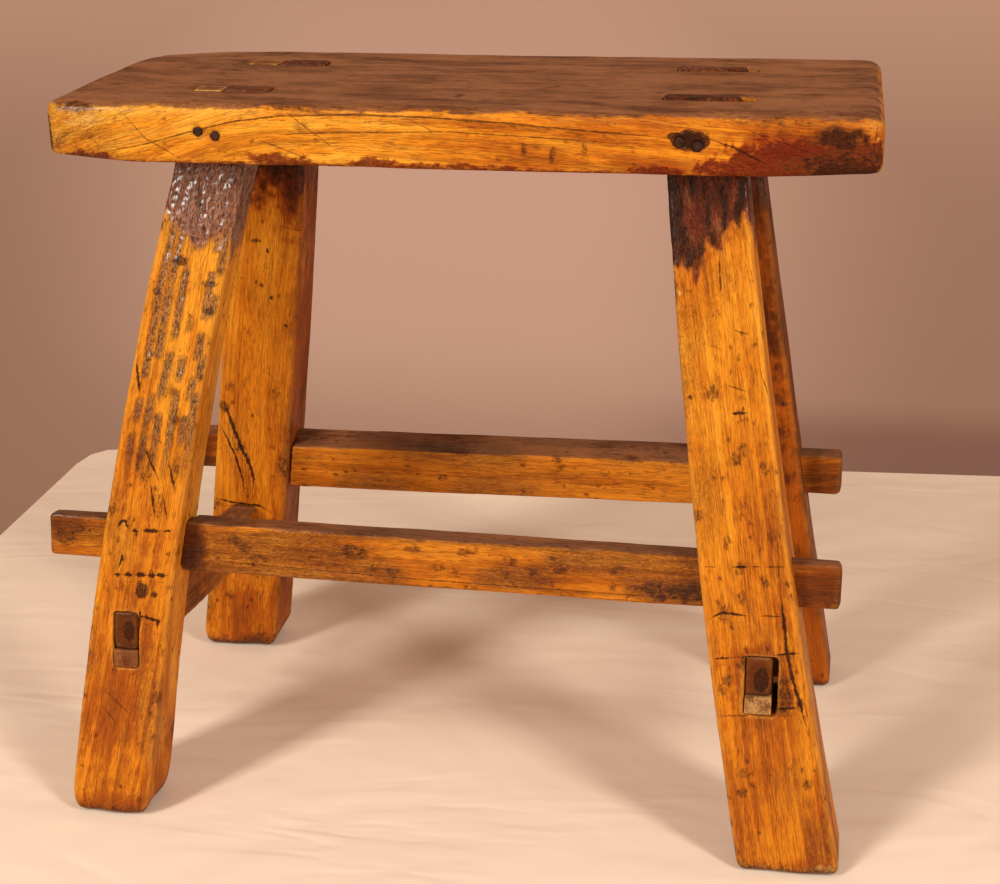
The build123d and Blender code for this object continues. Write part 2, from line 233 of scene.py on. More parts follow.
class Surface:
    """Fine closed mesh over a CAD node, with numbers painted on its points, all in millimetres."""

    def __init__(self, node: bpy.types.Object, voxel: float) -> None:
        """Merges and remeshes a copy of the node.

        Args:
            node: CAD node to copy.
            voxel: size of the new faces.
        """
        shell = bmesh.new()
        shell.from_mesh(node.data)
        bmesh.ops.remove_doubles(shell, verts=shell.verts, dist=TINY)
        bmesh.ops.recalc_face_normals(shell, faces=shell.faces)
        raw = bpy.data.meshes.new("raw")
        shell.to_mesh(raw)
        shell.free()
        blank = add_object("blank", raw)
        modifier = blank.modifiers.new("fine faces", "REMESH")
        modifier.mode = "VOXEL"
        modifier.voxel_size = voxel * MM
        modifier.adaptivity = 0.0
        graph = bpy.context.evaluated_depsgraph_get()
        self.mesh = bpy.data.meshes.new_from_object(blank.evaluated_get(graph))
        bpy.data.objects.remove(blank)
        bpy.data.meshes.remove(raw)
        self.points = self.read("vertices", "co", 3, float) / MM
        self.edges = self.read("edges", "vertices", 2, np.int32)
        self.faces = self.read("loops", "vertex_index", 1, np.int32).reshape(-1, 4)
        self.painted: dict[str, Array] = {}
        self.normals = self.face_up()
        self.lanes = [np.full(len(self.points), NO_LINE) for _ in range(LANES)]
        self.widths = [np.zeros(len(self.points)) for _ in range(LANES)]
        self.drawn: list[list[Array]] = [[] for _ in range(LANES)]
        self.tints = np.zeros((len(self.points), len(Tint)))

    def read(self, group: str, name: str, width: int, kind: type) -> Array:
        """Reads one property of the mesh's elements.

        Args:
            group: vertices, edges or loops.
            name: the property.
            width: numbers for each element.
            kind: type of number.

        Returns:
            One row for each element.
        """
        elements = getattr(self.mesh, group)
        values = np.zeros(len(elements) * width, np.float32 if kind is float else np.int32)
        elements.foreach_get(name, values)
        return values.astype(float if kind is float else np.int64).reshape(-1, width)

    def face_up(self) -> Array:
        """Normals of the points.

        Returns:
            One unit row for each point.
        """
        corners = self.points[self.faces]
        across = np.cross(corners[:, 2] - corners[:, 0], corners[:, 3] - corners[:, 1])
        total = np.zeros_like(self.points)
        for axis in range(3):
            for corner in range(4):
                total[:, axis] += np.bincount(self.faces[:, corner], across[:, axis], len(self.points))
        return total / np.maximum(np.linalg.norm(total, axis=1, keepdims=True), 1e-9)

    def evened(self, values: Array, rounds: int) -> Array:
        """Averages values over neighbouring points.

        Args:
            values: rows to average, one for each point.
            rounds: how often.

        Returns:
            The averaged rows.
        """
        flat = values.reshape(len(values), -1).astype(float).copy()
        one, two = self.edges[:, 0], self.edges[:, 1]
        count = np.bincount(one, minlength=len(flat)) + np.bincount(two, minlength=len(flat))
        for _ in range(rounds):
            total = np.empty_like(flat)
            for column in range(flat.shape[1]):
                total[:, column] = np.bincount(one, flat[two, column], len(flat))
                total[:, column] += np.bincount(two, flat[one, column], len(flat))
            flat = 0.5 * flat + 0.5 * total / np.maximum(count, 1)[:, None]
        return flat.reshape(values.shape)

    def looks(self, facing: Facing, low: float = 0.3, high: float = 0.7) -> Array:
        """Share of each point that belongs to a side, full from the cosine high on."""
        return eased(self.normals @ np.array(facing.value[0]), low, high)

    def exposed(self, rounds: int) -> Array:
        """Millimetres by which each point stands out of its surroundings, below 0 in corners."""
        return np.sum((self.points - self.evened(self.points, rounds)) * self.normals, axis=1)

    def soften(self, rounds: int, share: Array | float = 1.0) -> None:
        """Wears the arrises round.

        Args:
            rounds: how far the wear reaches.
            share: part of the wear that each point gets.
        """
        worn = self.evened(self.points, rounds)
        inwards = np.minimum(np.sum((worn - self.points) * self.normals, axis=1), 0.0)
        self.points = self.points + self.normals * (inwards * share)[:, None]
        self.normals = self.face_up()

    def sink(self, depth: Array) -> None:
        """Moves the points inwards by the given millimetres."""
        self.points = self.points - self.normals * np.maximum(depth, 0.0)[:, None]
        self.normals = self.face_up()

    def stain(self, facing: Facing, patches: tuple[Patch, ...], noise: Noise) -> None:
        """Paints oval patches: stains, bare wood, darker tones and painted shade.

        Args:
            facing: side that they lie on.
            patches: the patches.
            noise: field that breaks up their rims.
        """
        flat = self.points[:, facing.value[1]]
        side = self.looks(facing, -0.1, 0.5)
        for patch in patches:
            angle = math.radians(patch.turn)
            away = flat - np.array(patch.centre)
            along = away[:, 0] * math.cos(angle) + away[:, 1] * math.sin(angle)
            across = away[:, 1] * math.cos(angle) - away[:, 0] * math.sin(angle)
            reach = np.hypot(along / patch.size[0], across / patch.size[1])
            near = reach < 2.0
            spots = self.points[near]
            rough = np.zeros(len(flat))
            torn = min(1.0, patch.size[0] / 18.0)
            rough[near] = torn * (0.35 * noise.at(spots, 4.0) + 0.25 * noise.at(spots, 1.7))
            low, high = (1.5, 0.2) if patch.tint is Tint.SHADE else (1.25, 0.55)
            value = patch.strength * eased(reach + rough, low, high) * side
            channel = patch.tint.value
            self.tints[:, channel] = np.maximum(self.tints[:, channel], value)

    def scribe(self, facing: Facing, lines: tuple[Line, ...]) -> None:
        """Keeps the distance of each point from the lines, so that the finish can draw them finely.

        Args:
            facing: side that the lines are on.
            lines: the lines.
        """
        flat = self.points[:, facing.value[1]]
        side = self.looks(facing, 0.2, 0.5)
        for line in lines:
            path = np.array(line.points, float)
            lane = self.free_lane(path)
            lengths = np.linalg.norm(np.diff(path, axis=0), axis=1)
            total, before = float(lengths.sum()), 0.0
            low, high = path.min(0) - LINE_REACH, path.max(0) + LINE_REACH
            near = np.all((flat > low) & (flat < high), axis=1) & (side > 0.0)
            spots = flat[near]
            best = np.full(len(spots), np.inf)
            signed = share = np.zeros(len(spots))
            for start, end, length in zip(path[:-1], path[1:], lengths):
                way = (end - start) / length
                away = spots - start
                raw = away @ way
                along = np.clip(raw, 0.0, length)
                gap = np.linalg.norm(away - along[:, None] * way, axis=1)
                turn = way[0] * away[:, 1] - way[1] * away[:, 0]
                past = np.maximum(np.maximum(-raw, raw - length), 0.0)
                done = (before + along) / total
                ends = np.clip(np.minimum(done, 1.0 - done) / line.fade, 0.25, 1.0)
                ends = ends * np.clip(1.0 - past / (0.8 + line.width), 0.0, 1.0)
                closer = gap < best
                pairs = ((gap, best), (turn, signed), (ends, share))
                best, signed, share = (np.where(closer, new, old) for new, old in pairs)
                before += length
            wins = best < np.minimum(LINE_REACH, np.abs(self.lanes[lane][near]))
            won = np.flatnonzero(near)[wins]
            self.lanes[lane][won] = signed[wins]
            self.widths[lane][won] = line.width * share[wins] * side[won]
            self.drawn[lane].append(path)

    def free_lane(self, path: Array) -> int:
        """Picks the lane in which a new line has most room.

        Args:
            path: the new line's points.

        Returns:
            Number of the lane.
        """
        rooms = []
        for lane in self.drawn:
            room = 100.0
            for other in lane:
                for spot in np.concatenate([path, (path[:-1] + path[1:]) / 2.0]):
                    middle = np.concatenate([other, (other[:-1] + other[1:]) / 2.0])
                    room = min(room, float(np.linalg.norm(middle - spot, axis=1).min()))
            rooms.append(room)
        return int(np.argmax(rooms))

    def paint(self, name: str, values: Array) -> None:
        """Keeps numbers, or rows of three, to be written on the mesh."""
        self.painted[name] = values

    def to_object(self, name: str) -> bpy.types.Object:
        """Writes the points and painted numbers and links the piece.

        Args:
            name: the piece's name.

        Returns:
            The new object.
        """
        self.paint("tints", self.tints[:, :3])
        self.paint("line_gaps", np.stack(self.lanes, axis=1))
        self.paint("line_widths", np.stack(self.widths, axis=1))
        self.mesh.vertices.foreach_set("co", (self.points * MM).astype(np.float32).ravel())
        for label, values in self.painted.items():
            vector = values.ndim == 2
            kept = self.mesh.attributes.new(label, "FLOAT_VECTOR" if vector else "FLOAT", "POINT")
            kept.data.foreach_set("vector" if vector else "value", values.astype(np.float32).ravel())
        self.mesh.polygons.foreach_set("use_smooth", np.ones(len(self.mesh.polygons), bool))
        self.mesh.update()
        self.mesh.name = name
        return add_object(name, self.mesh)


class Graph:
    """Adds nodes to a node tree and joins them."""

    COLUMNS = 12
    COLUMN_STEP = 180.0
    ROW_STEP = 220.0

    def __init__(self, tree: Tree) -> None:
        """Starts on an empty tree."""
        self.tree = tree
        self.count = 0

    def node(self, kind: str, **settings: object) -> bpy.types.Node:
        """Adds a node.

        Args:
            kind: Blender's name of the node type.
            **settings: properties to set.

        Returns:
            The node.
        """
        made = self.tree.nodes.new(kind)
        row, column = divmod(self.count, self.COLUMNS)
        made.location = (self.COLUMN_STEP * column, -self.ROW_STEP * row)
        self.count += 1
        for name, value in settings.items():
            setattr(made, name, value)
        return made

    def feed(self, socket: Socket, value: object) -> None:
        """Links or sets an input.

        Args:
            socket: the input.
            value: an output socket, a number or a tuple.
        """
        if isinstance(value, Socket):
            self.tree.links.new(value, socket)
        else:
            socket.default_value = value

    def put(
        self, kind: str, inputs: dict[str | int, object], output: int = 0, **settings: object
    ) -> Socket:
        """Adds a node with its inputs and gives one output.

        Args:
            kind: Blender's name of the node type.
            inputs: sockets or values for its inputs, by name or number.
            output: number of the output.
            **settings: properties to set.

        Returns:
            The output.
        """
        made = self.node(kind, **settings)
        for name, value in inputs.items():
            self.feed(made.inputs[name], value)
        return made.outputs[output]

    def math(self, operation: str, *values: object, clamp: bool = False) -> Socket:
        """Adds a Math node and gives its output."""
        return self.put("ShaderNodeMath", dict(enumerate(values)), operation=operation, use_clamp=clamp)

    def times(self, one: object, two: object) -> Socket:
        """Multiplies two numbers."""
        return self.math("MULTIPLY", one, two)

    def added(self, value: object, share: object, base: object, clamp: bool = False) -> Socket:
        """Adds a share of one number to another."""
        return self.math("MULTIPLY_ADD", value, share, base, clamp=clamp)

    def vector(self, operation: str, *values: object) -> Socket:
        """Adds a Vector Math node and gives its vector output."""
        return self.put("ShaderNodeVectorMath", dict(enumerate(values)), operation=operation)

    def scaled(self, vector: object, factor: object) -> Socket:
        """Makes a vector longer or shorter."""
        return self.put("ShaderNodeVectorMath", {0: vector, "Scale": factor}, operation="SCALE")

    def ramp(
        self,
        value: object,
        low: object,
        high: object,
        start: float = 0.0,
        end: float = 1.0,
        curve: str = "SMOOTHSTEP",
    ) -> Socket:
        """Maps low to start and high to end, with a step of the curve's form between them."""
        inputs = dict(enumerate((value, low, high, start, end)))
        return self.put("ShaderNodeMapRange", inputs, interpolation_type=curve)

    def bump(self, height: object, strength: float, distance: float) -> Socket:
        """Turns a height into a normal."""
        return self.put("ShaderNodeBump", {"Strength": strength, "Distance": distance, "Height": height})

    def noise(
        self,
        place: object,
        scale: Triple = (1.0, 1.0, 1.0),
        detail: float = 2.0,
        rough: float = 0.5,
        warp: float = 0.0,
    ) -> Socket:
        """Adds a 3-D noise.

        Args:
            place: where it is read.
            scale: its waves for each unit, along the three axes.
            detail: number of finer layers.
            rough: weight of the finer layers.
            warp: how much it is twisted.

        Returns:
            The noise's value.
        """
        place = self.vector("MULTIPLY", place, scale)
        inputs = {"Vector": place, "Scale": 1.0, "Detail": detail, "Roughness": rough, "Distortion": warp}
        return self.put("ShaderNodeTexNoise", inputs, noise_dimensions="3D")

    def strand(self, number: object, detail: float = 2.0, rough: float = 0.5) -> Socket:
        """Adds a 1-D noise at scale 1 and gives its value."""
        inputs = {"W": number, "Scale": 1.0, "Detail": detail, "Roughness": rough}
        return self.put("ShaderNodeTexNoise", inputs, noise_dimensions="1D")

    def summed(self, base: object, *terms: tuple[object, float]) -> Socket:
        """Adds shares of numbers to a base.

        Args:
            base: what they are added to.
            *terms: pairs of a number and its share.

        Returns:
            The sum.
        """
        for value, share in terms:
            base = self.added(value, share, base)
        return base

    def most(self, values: list[object]) -> Socket:
        """Largest of some numbers.

        Args:
            values: the numbers.

        Returns:
            The largest.
        """
        largest = values[0]
        for value in values[1:]:
            largest = self.math("MAXIMUM", largest, value)
        return largest

    def blend(self, share: object, one: object, two: object) -> Socket:
        """Mixes two colours.

        Args:
            share: how much of the second.
            one: first colour.
            two: second colour.

        Returns:
            The mixed colour.
        """
        made = self.node("ShaderNodeMix", data_type="RGBA", blend_type="MIX", clamp_factor=True)
        self.feed(made.inputs[0], share)
        for socket, value in ((made.inputs[6], one), (made.inputs[7], two)):
            self.feed(socket, (*value, 1.0) if isinstance(value, tuple) else value)
        return made.outputs[2]

    def coats(self, colour: object, *layers: tuple[object, float, object]) -> Socket:
        """Lays tones over a colour.

        Args:
            colour: what they lie on.
            *layers: each layer's mask, share and tone, from the lowest up.

        Returns:
            The mixed colour.
        """
        for mask, share, tone in layers:
            colour = self.blend(self.times(mask, share), colour, tone)
        return colour

    def attribute(self, name: str, output: str = "Vector") -> Socket:
        """Reads numbers painted on the mesh."""
        made = self.node("ShaderNodeAttribute", attribute_type="GEOMETRY", attribute_name=name)
        return made.outputs[output]

    def show(self, surface: Socket, kind: str = "ShaderNodeOutputMaterial") -> None:
        """Ends a material or world tree."""
        self.feed(self.node(kind).inputs["Surface"], surface)

    def split(self, vector: object) -> tuple[Socket, ...]:
        """Splits a vector into its three numbers."""
        made = self.node("ShaderNodeSeparateXYZ")
        self.feed(made.inputs[0], vector)
        return tuple(made.outputs)

    def join(self, x: object, y: object, z: object) -> Socket:
        """Joins three numbers into a vector."""
        return self.put("ShaderNodeCombineXYZ", {0: x, 1: y, 2: z})

    def use(self, group: Tree, **values: object) -> bpy.types.Node:
        """Places a group with its own values.

        Args:
            group: the node group.
            **values: its inputs, with _ for each space.

        Returns:
            The group's node.
        """
        made = self.node("ShaderNodeGroup", node_tree=group)
        for name, value in values.items():
            self.feed(made.inputs[name.replace("_", " ").title()], value)
        return made

    def end_group(self, **results: object) -> Tree:
        """Gives a shader group its number outputs.

        Args:
            **results: the outputs by their names, in order.

        Returns:
            The group.
        """
        for name in results:
            self.tree.interface.new_socket(name.title(), in_out="OUTPUT", socket_type="NodeSocketFloat")
        ended = self.node("NodeGroupOutput")
        for name, value in results.items():
            self.feed(ended.inputs[name.title()], value)
        return self.tree


def blank_material(name: str) -> tuple[bpy.types.Material, Graph]:
    """Starts a material with an empty node tree."""
    made = bpy.data.materials.new(name)
    made.use_nodes = True
    made.node_tree.nodes.clear()
    return made, Graph(made.node_tree)


class Effects:
    """The shader groups that the stool's finishes share, each built once."""

    def __init__(self) -> None:
        """Builds every group."""
        self.figure = self.build_figure()
        self.grime = self.build_grime()
        self.lines = self.build_lines()
        self.ragged = self.build_ragged()
        self.spots = self.build_spots()
        self.arris = self.build_arris()
        self.weather = self.build_weather()

    def group(self, name: str, *inputs: str) -> tuple[Graph, list[Socket]]:
        """Starts a shader group.

        Args:
            name: the group's name.
            *inputs: names of its inputs; the ones in VECTORS are vectors.

        Returns:
            The graph and the inputs' sockets.
        """
        tree = bpy.data.node_groups.new(name, "ShaderNodeTree")
        for label in inputs:
            kind = "NodeSocketVector" if label in VECTORS else "NodeSocketFloat"
            tree.interface.new_socket(label, in_out="INPUT", socket_type=kind)
        graph = Graph(tree)
        return graph, list(graph.node("NodeGroupInput").outputs)[:len(inputs)]

    def build_figure(self) -> Tree:
        """Growth rings, fibres and pores, from grain in millimetres.

        Returns:
            The group.
        """
        graph, (grain, ring, size, seed) = self.group("Timber Figure", "Grain", "Ring", "Ring Size", "Seed")
        moved = graph.vector("ADD", grain, graph.join(seed, seed, seed))
        sway = graph.added(graph.noise(moved, (0.03, 0.16, 0.16), detail=3.0), 2.6, -1.3)
        bent = graph.math("DIVIDE", graph.math("ADD", ring, sway), size)
        bands = graph.strand(graph.math("ADD", bent, seed), detail=2.5, rough=0.65)
        thin = graph.strand(graph.added(bent, 1.7, seed), detail=3.0, rough=0.6)
        thin = graph.math("ABSOLUTE", graph.math("SUBTRACT", thin, 0.52))
        fibres = graph.noise(moved, (0.10, 1.3, 1.3), detail=4.0, rough=0.7)
        pores = graph.noise(moved, (0.13, 2.2, 2.2), detail=3.0, rough=0.6)
        thick = graph.strand(graph.added(bent, 0.8, seed), detail=2.0)
        pores = graph.math("SUBTRACT", pores, graph.ramp(thick, 0.4, 0.62, 0.06, 0.0))
        streaks = graph.noise(moved, (0.022, 0.42, 0.42), detail=3.0, rough=0.6)
        return graph.end_group(
            rings=graph.ramp(bands, 0.36, 0.66),
            latewood=graph.ramp(thin, 0.035, 0.008),
            fibres=graph.ramp(fibres, 0.36, 0.64),
            pores=graph.ramp(pores, 0.54, 0.62),
            streaks=graph.ramp(streaks, 0.42, 0.7),
        )

    def build_grime(self) -> Tree:
        """Cloudy old wax, small dirt specks and smears.

        Returns:
            The group.
        """
        graph, (grain, seed) = self.group("Old Wax And Dirt", "Grain", "Seed")
        moved = graph.vector("ADD", grain, graph.join(0.0, seed, seed))
        clouds = graph.noise(moved, (0.016, 0.04, 0.04), detail=4.0, rough=0.62)
        specks = graph.noise(moved, (0.3, 0.55, 0.55), detail=3.0, rough=0.7)
        where = graph.noise(moved, (0.03, 0.05, 0.05), detail=2.0)
        specks = graph.math("SUBTRACT", specks, graph.ramp(where, 0.4, 0.65, 0.76, 0.63))
        smears = graph.noise(moved, (0.06, 0.22, 0.22), detail=4.0, rough=0.7)
        return graph.end_group(
            clouds=graph.ramp(clouds, 0.34, 0.66),
            specks=graph.ramp(specks, 0.0, 0.06),
            smears=graph.ramp(smears, 0.52, 0.72),
        )

    def build_lines(self) -> Tree:
        """Fine lines from their distances and widths in millimetres.

        Returns:
            The group.
        """
        graph, (grain, gaps, widths) = self.group("Cracks And Scratches", "Grain", "Gaps", "Widths")
        wobble = graph.added(graph.noise(grain, (0.45, 0.45, 0.45), detail=3.0, rough=0.6), 0.8, -0.4)
        broken = graph.noise(grain, (0.3, 0.5, 0.5), detail=3.0, rough=0.65)
        broken = graph.ramp(broken, 0.34, 0.6, 0.35, 1.3)
        masks = []
        for gap, width in zip(graph.split(gaps), graph.split(widths)):
            off = graph.math("ABSOLUTE", graph.math("ADD", gap, wobble))
            reach = graph.times(width, broken)
            shape = graph.ramp(off, graph.times(reach, 0.45), reach, 1.0, 0.0, "LINEAR")
            strong = graph.times(graph.ramp(width, 0.02, 0.14), graph.ramp(width, 0.25, 0.8, 0.6, 1.0))
            masks.append(graph.times(shape, strong))
        return graph.end_group(lines=graph.most(masks))

    def build_ragged(self) -> Tree:
        """A painted amount with a torn rim.

        Returns:
            The group.
        """
        graph, (amount, grain, seed) = self.group("Ragged Stain", "Amount", "Grain", "Seed")
        moved = graph.vector("ADD", grain, graph.join(seed, 0.0, seed))
        coarse = graph.noise(moved, (0.26, 0.5, 0.5), detail=6.0, rough=0.82)
        total = graph.math("ADD", graph.ramp(coarse, 0.28, 0.72), amount)
        fine = graph.ramp(graph.noise(moved, (0.5, 1.1, 1.1), detail=4.0, rough=0.7), 0.35, 0.65, 0.6, 1.0)
        fine = graph.math("MAXIMUM", fine, graph.ramp(amount, 2.3, 2.9))
        core = graph.times(graph.ramp(total, 1.0, 1.6), graph.ramp(amount, 0.1, 0.5))
        return graph.end_group(
            rim=graph.times(graph.ramp(total, 0.75, 1.2), graph.ramp(amount, 0.02, 0.3)),
            core=graph.times(core, fine),
        )

    def build_spots(self) -> Tree:
        """Small soft spots of old dirt in two sizes.

        Returns:
            The group.
        """
        graph, (grain, seed) = self.group("Scattered Spots", "Grain", "Seed")
        moved = graph.vector("ADD", grain, graph.join(0.0, seed, seed))
        torn = graph.noise(moved, (0.35, 0.6, 0.6), detail=5.0, rough=0.8)
        spots = []
        for size, most in ((5.5, 0.27), (12.0, 0.3)):
            cells = graph.node("ShaderNodeTexVoronoi", voronoi_dimensions="3D", feature="F1")
            graph.feed(cells.inputs["Vector"], graph.vector("DIVIDE", moved, (1.2 * size, size, size)))
            cells.inputs["Scale"].default_value = 1.0
            reach = graph.ramp(graph.split(cells.outputs["Color"])[0], 0.35, 1.0, -0.12, most)
            gap = graph.math("SUBTRACT", cells.outputs["Distance"], reach)
            gap = graph.added(torn, -1.5, graph.math("ADD", gap, 0.75))
            spots.append(graph.ramp(gap, 0.08, -0.2))
        return graph.end_group(spots=graph.most(spots))

    def build_arris(self) -> Tree:
        """Rubbed arrises and darker hollow corners, from how far a point stands out.

        Returns:
            The group.
        """
        graph, (exposed, grain) = self.group("Rubbed Arris", "Exposed", "Grain")
        uneven = graph.noise(grain, (0.09, 0.5, 0.5), detail=3.0, rough=0.6)
        shifted = graph.added(uneven, 0.5, graph.math("SUBTRACT", exposed, 0.25))
        return graph.end_group(
            rubbed=graph.ramp(shifted, 0.12, 0.5),
            corner=graph.ramp(exposed, -0.05, -0.5),
        )

    def build_weather(self) -> Tree:
        """Weathered wood: ridged fibres, short cross checks and pits.

        Returns:
            The group.
        """
        graph, (grain, seed) = self.group("Weathered Fibres", "Grain", "Seed")
        moved = graph.vector("ADD", grain, graph.join(seed, 0.0, 0.0))
        return graph.end_group(
            ridges=graph.ramp(graph.noise(moved, (0.22, 1.5, 1.5), detail=4.0, rough=0.7), 0.36, 0.64),
            pits=graph.ramp(graph.noise(moved, (0.4, 1.25, 1.25), detail=4.0, rough=0.7), 0.48, 0.6),
            checks=graph.ramp(graph.noise(moved, (1.2, 0.35, 0.35), detail=3.0, rough=0.65), 0.55, 0.65),
        )


@dataclass(frozen=True)
class WoodFinish:
    """Old waxed wood in one tone. Colours are linear."""

    name: str
    light: Colour
    middle: Colour
    dark: Colour
    deep: Colour = (0.085, 0.016, 0.003)
    streak: Colour = (0.15, 0.040, 0.006)
    grime: Colour = (0.040, 0.012, 0.004)
    stain: Colour = (0.016, 0.004, 0.002)
    red: Colour = (0.095, 0.007, 0.002)
    red_rim: Colour = (0.28, 0.038, 0.004)
    pale: Colour = (0.80, 0.42, 0.11)
    rubbed: Colour = (0.86, 0.38, 0.05)
    aged_light: Colour = (0.26, 0.095, 0.033)
    aged_dark: Colour = (0.050, 0.015, 0.006)
    # pale colour on the crests of weathered ridges: partly bare fibres, partly painted glints
    crest_and_glint: Colour = (0.74, 0.36, 0.21)
    ring_size: float = 5.0
    ring_share: float = 0.3
    latewood_share: float = 0.4
    streak_share: float = 0.2
    pore_share: float = 0.5
    speck_share: float = 0.6
    spot_share: float = 0.8
    crest_and_glint_share: float = 0.15
    smear_share: float = 0.45
    rubbed_share: float = 0.35
    bump: float = 0.9
    gloss: float = 0.015
    roughness: float = 0.44
    seed: float = 0.0

    def material(self, effects: Effects) -> bpy.types.Material:
        """Builds the material.

        Args:
            effects: the shared shader groups.

        Returns:
            The material.
        """
        made, graph = blank_material(self.name)
        grain = graph.attribute("grain")
        exposed, rough, hue = graph.split(graph.attribute("wear"))
        dark, red, pale = graph.split(graph.attribute("tints"))
        aged = graph.attribute("aged", "Fac")
        ring = graph.attribute("ring", "Fac")
        figure = graph.use(effects.figure, grain=grain, ring=ring, ring_size=self.ring_size, seed=self.seed)
        rings, latewood, fibres, pores, streaks = figure.outputs[0:5]
        clouds, specks, smears = graph.use(effects.grime, grain=grain, seed=self.seed).outputs[0:3]
        gaps, widths = graph.attribute("line_gaps"), graph.attribute("line_widths")
        lines = graph.use(effects.lines, grain=grain, gaps=gaps, widths=widths).outputs[0]
        (dark_rim, dark), (red_rim, red), (_, pale) = (
            graph.use(effects.ragged, amount=amount, grain=grain, seed=self.seed + shift).outputs[0:2]
            for amount, shift in ((dark, 3.0), (red, 11.0), (pale, 23.0))
        )
        rubbed, corner = graph.use(effects.arris, exposed=exposed, grain=grain).outputs[0:2]
        ridges, pits, checks = graph.use(effects.weather, grain=grain, seed=self.seed).outputs[0:3]
        spots = graph.use(effects.spots, grain=grain, seed=self.seed).outputs[0]

        tone = graph.added(clouds, 0.55, graph.times(rings, self.ring_share))
        tone = graph.math("ADD", tone, graph.added(fibres, 0.3, hue))
        colour = self.light
        for low, high, deeper in ((0.1, 0.65, self.middle), (0.6, 1.25, self.dark), (1.2, 2.2, self.deep)):
            colour = graph.blend(graph.ramp(tone, low, high), colour, deeper)
        colour = graph.coats(
            colour,
            (graph.times(latewood, graph.added(fibres, 0.6, 0.4)), self.latewood_share, self.streak),
            (streaks, self.streak_share, self.streak),
            (smears, self.smear_share, self.streak),
            (rubbed, self.rubbed_share, self.rubbed),
        )
        old = graph.summed(graph.times(fibres, 0.2), (streaks, 0.3), (clouds, 0.5), (smears, 0.35))
        old = graph.blend(graph.ramp(old, 0.2, 1.1), self.aged_light, self.aged_dark)
        # pale ridge crests: partly bare fibres, partly painted glints
        crests_and_glints = graph.times(graph.times(ridges, graph.ramp(fibres, 0.1, 0.7)), rough)
        colour = graph.coats(
            graph.blend(aged, colour, old),
            (pores, self.pore_share, self.deep),
            (pale, 0.85, self.pale),
            (graph.times(rough, graph.math("MAXIMUM", pits, graph.times(checks, 0.8))), 0.92, self.grime),
            (graph.times(crests_and_glints, graph.added(aged, 0.8, 0.2)), self.crest_and_glint_share, self.crest_and_glint),
            (red_rim, 0.7, self.red_rim),
            (red, 0.95, self.red),
            (dark_rim, 0.55, self.streak),
            (dark, 0.95, self.stain),
            (specks, self.speck_share, self.grime),
            (spots, self.spot_share, self.deep),
            (corner, 0.7, self.grime),
            (lines, 0.92, self.stain),
        )

        smooth = graph.times(fibres, 0.1)
        smooth = graph.summed(smooth, (pores, -0.12), (latewood, -0.04), (lines, -0.45), (specks, -0.08))
        coarse = graph.summed(graph.times(pits, -2.3), (ridges, 2.1), (checks, -0.8))
        height = graph.added(rough, coarse, smooth)

        shine = graph.summed(self.roughness - 0.07, (clouds, 0.14), (fibres, 0.08), (rough, -0.24))
        shine = graph.added(lines, 0.3, shine, clamp=True)
        wet = graph.times(rough, graph.ramp(pits, 0.3, 0.9, 0.8, 0.05))
        inputs = {
            "Base Color": colour,
            "Roughness": shine,
            "Normal": graph.bump(height, self.bump, MM),
            "Coat Weight": graph.added(wet, 1.0, self.gloss),
            "Coat Roughness": 0.26,
            "Coat IOR": 1.9,
            "Specular IOR Level": 0.06,
        }
        graph.show(graph.put("ShaderNodeBsdfPrincipled", inputs))
        return made


SEAT_WOOD = WoodFinish(
    "seat wood",
    light=(0.80, 0.345, 0.030),
    middle=(0.68, 0.225, 0.010),
    dark=(0.42, 0.095, 0.004),
    ring_size=6.5,
    ring_share=0.4,
    streak_share=0.35,
    spot_share=0.55,
    seed=31.0,
)
SLIP_WOOD = WoodFinish(
    "slip wood",
    light=(0.30, 0.115, 0.025),
    middle=(0.17, 0.055, 0.012),
    dark=(0.07, 0.020, 0.006),
    rubbed=(0.80, 0.46, 0.13),
    rubbed_share=0.5,
    seed=77.0,
)
PALE_WOOD = WoodFinish(
    "pale wedge wood",
    light=(0.66, 0.40, 0.17),
    middle=(0.48, 0.25, 0.09),
    dark=(0.22, 0.09, 0.03),
    rubbed_share=0.1,
    seed=77.0,
)
RAIL_WOOD = WoodFinish(
    "rail wood",
    light=(0.62, 0.20, 0.012),
    middle=(0.46, 0.120, 0.005),
    dark=(0.20, 0.042, 0.003),
    ring_share=0.3,
    rubbed_share=0.05,
    pore_share=0.6,
    streak_share=0.4,
    seed=57.0,
)
WEDGE_WOOD = WoodFinish(
    "wedge wood",
    light=(0.31, 0.110, 0.034),
    middle=(0.20, 0.064, 0.020),
    dark=(0.08, 0.024, 0.009),
    rubbed_share=0.05,
    gloss=0.05,
    roughness=0.6,
    seed=71.0,
)


@dataclass(frozen=True)
class IronFinish:
    """Dark, rusted hand-made iron."""

    name: str = "rusted iron"
    dark: Colour = (0.020, 0.008, 0.005)
    rust: Colour = (0.055, 0.017, 0.007)
    worn: Colour = (0.10, 0.042, 0.022)

    def material(self) -> bpy.types.Material:
        """Builds the material.

        Returns:
            The material.
        """
        made, graph = blank_material(self.name)
        place = graph.node("ShaderNodeTexCoord").outputs["Object"]
        blotches = graph.noise(place, (420.0, 420.0, 420.0), detail=4.0, rough=0.6)
        pits = graph.noise(place, (1500.0, 1500.0, 1500.0), detail=3.0, rough=0.6)
        colour = graph.blend(graph.ramp(blotches, 0.42, 0.62), self.dark, self.rust)
        colour = graph.blend(graph.ramp(pits, 0.58, 0.75), colour, self.worn)
        inputs = {
            "Base Color": colour,
            "Metallic": graph.ramp(pits, 0.55, 0.7, 0.0, 0.15),
            "Roughness": graph.ramp(blotches, 0.3, 0.7, 0.45, 0.75),
            "Specular IOR Level": 0.12,
            "Normal": graph.bump(graph.math("ADD", blotches, pits), 0.5, 0.0006),
        }
        graph.show(graph.put("ShaderNodeBsdfPrincipled", inputs))
        return made


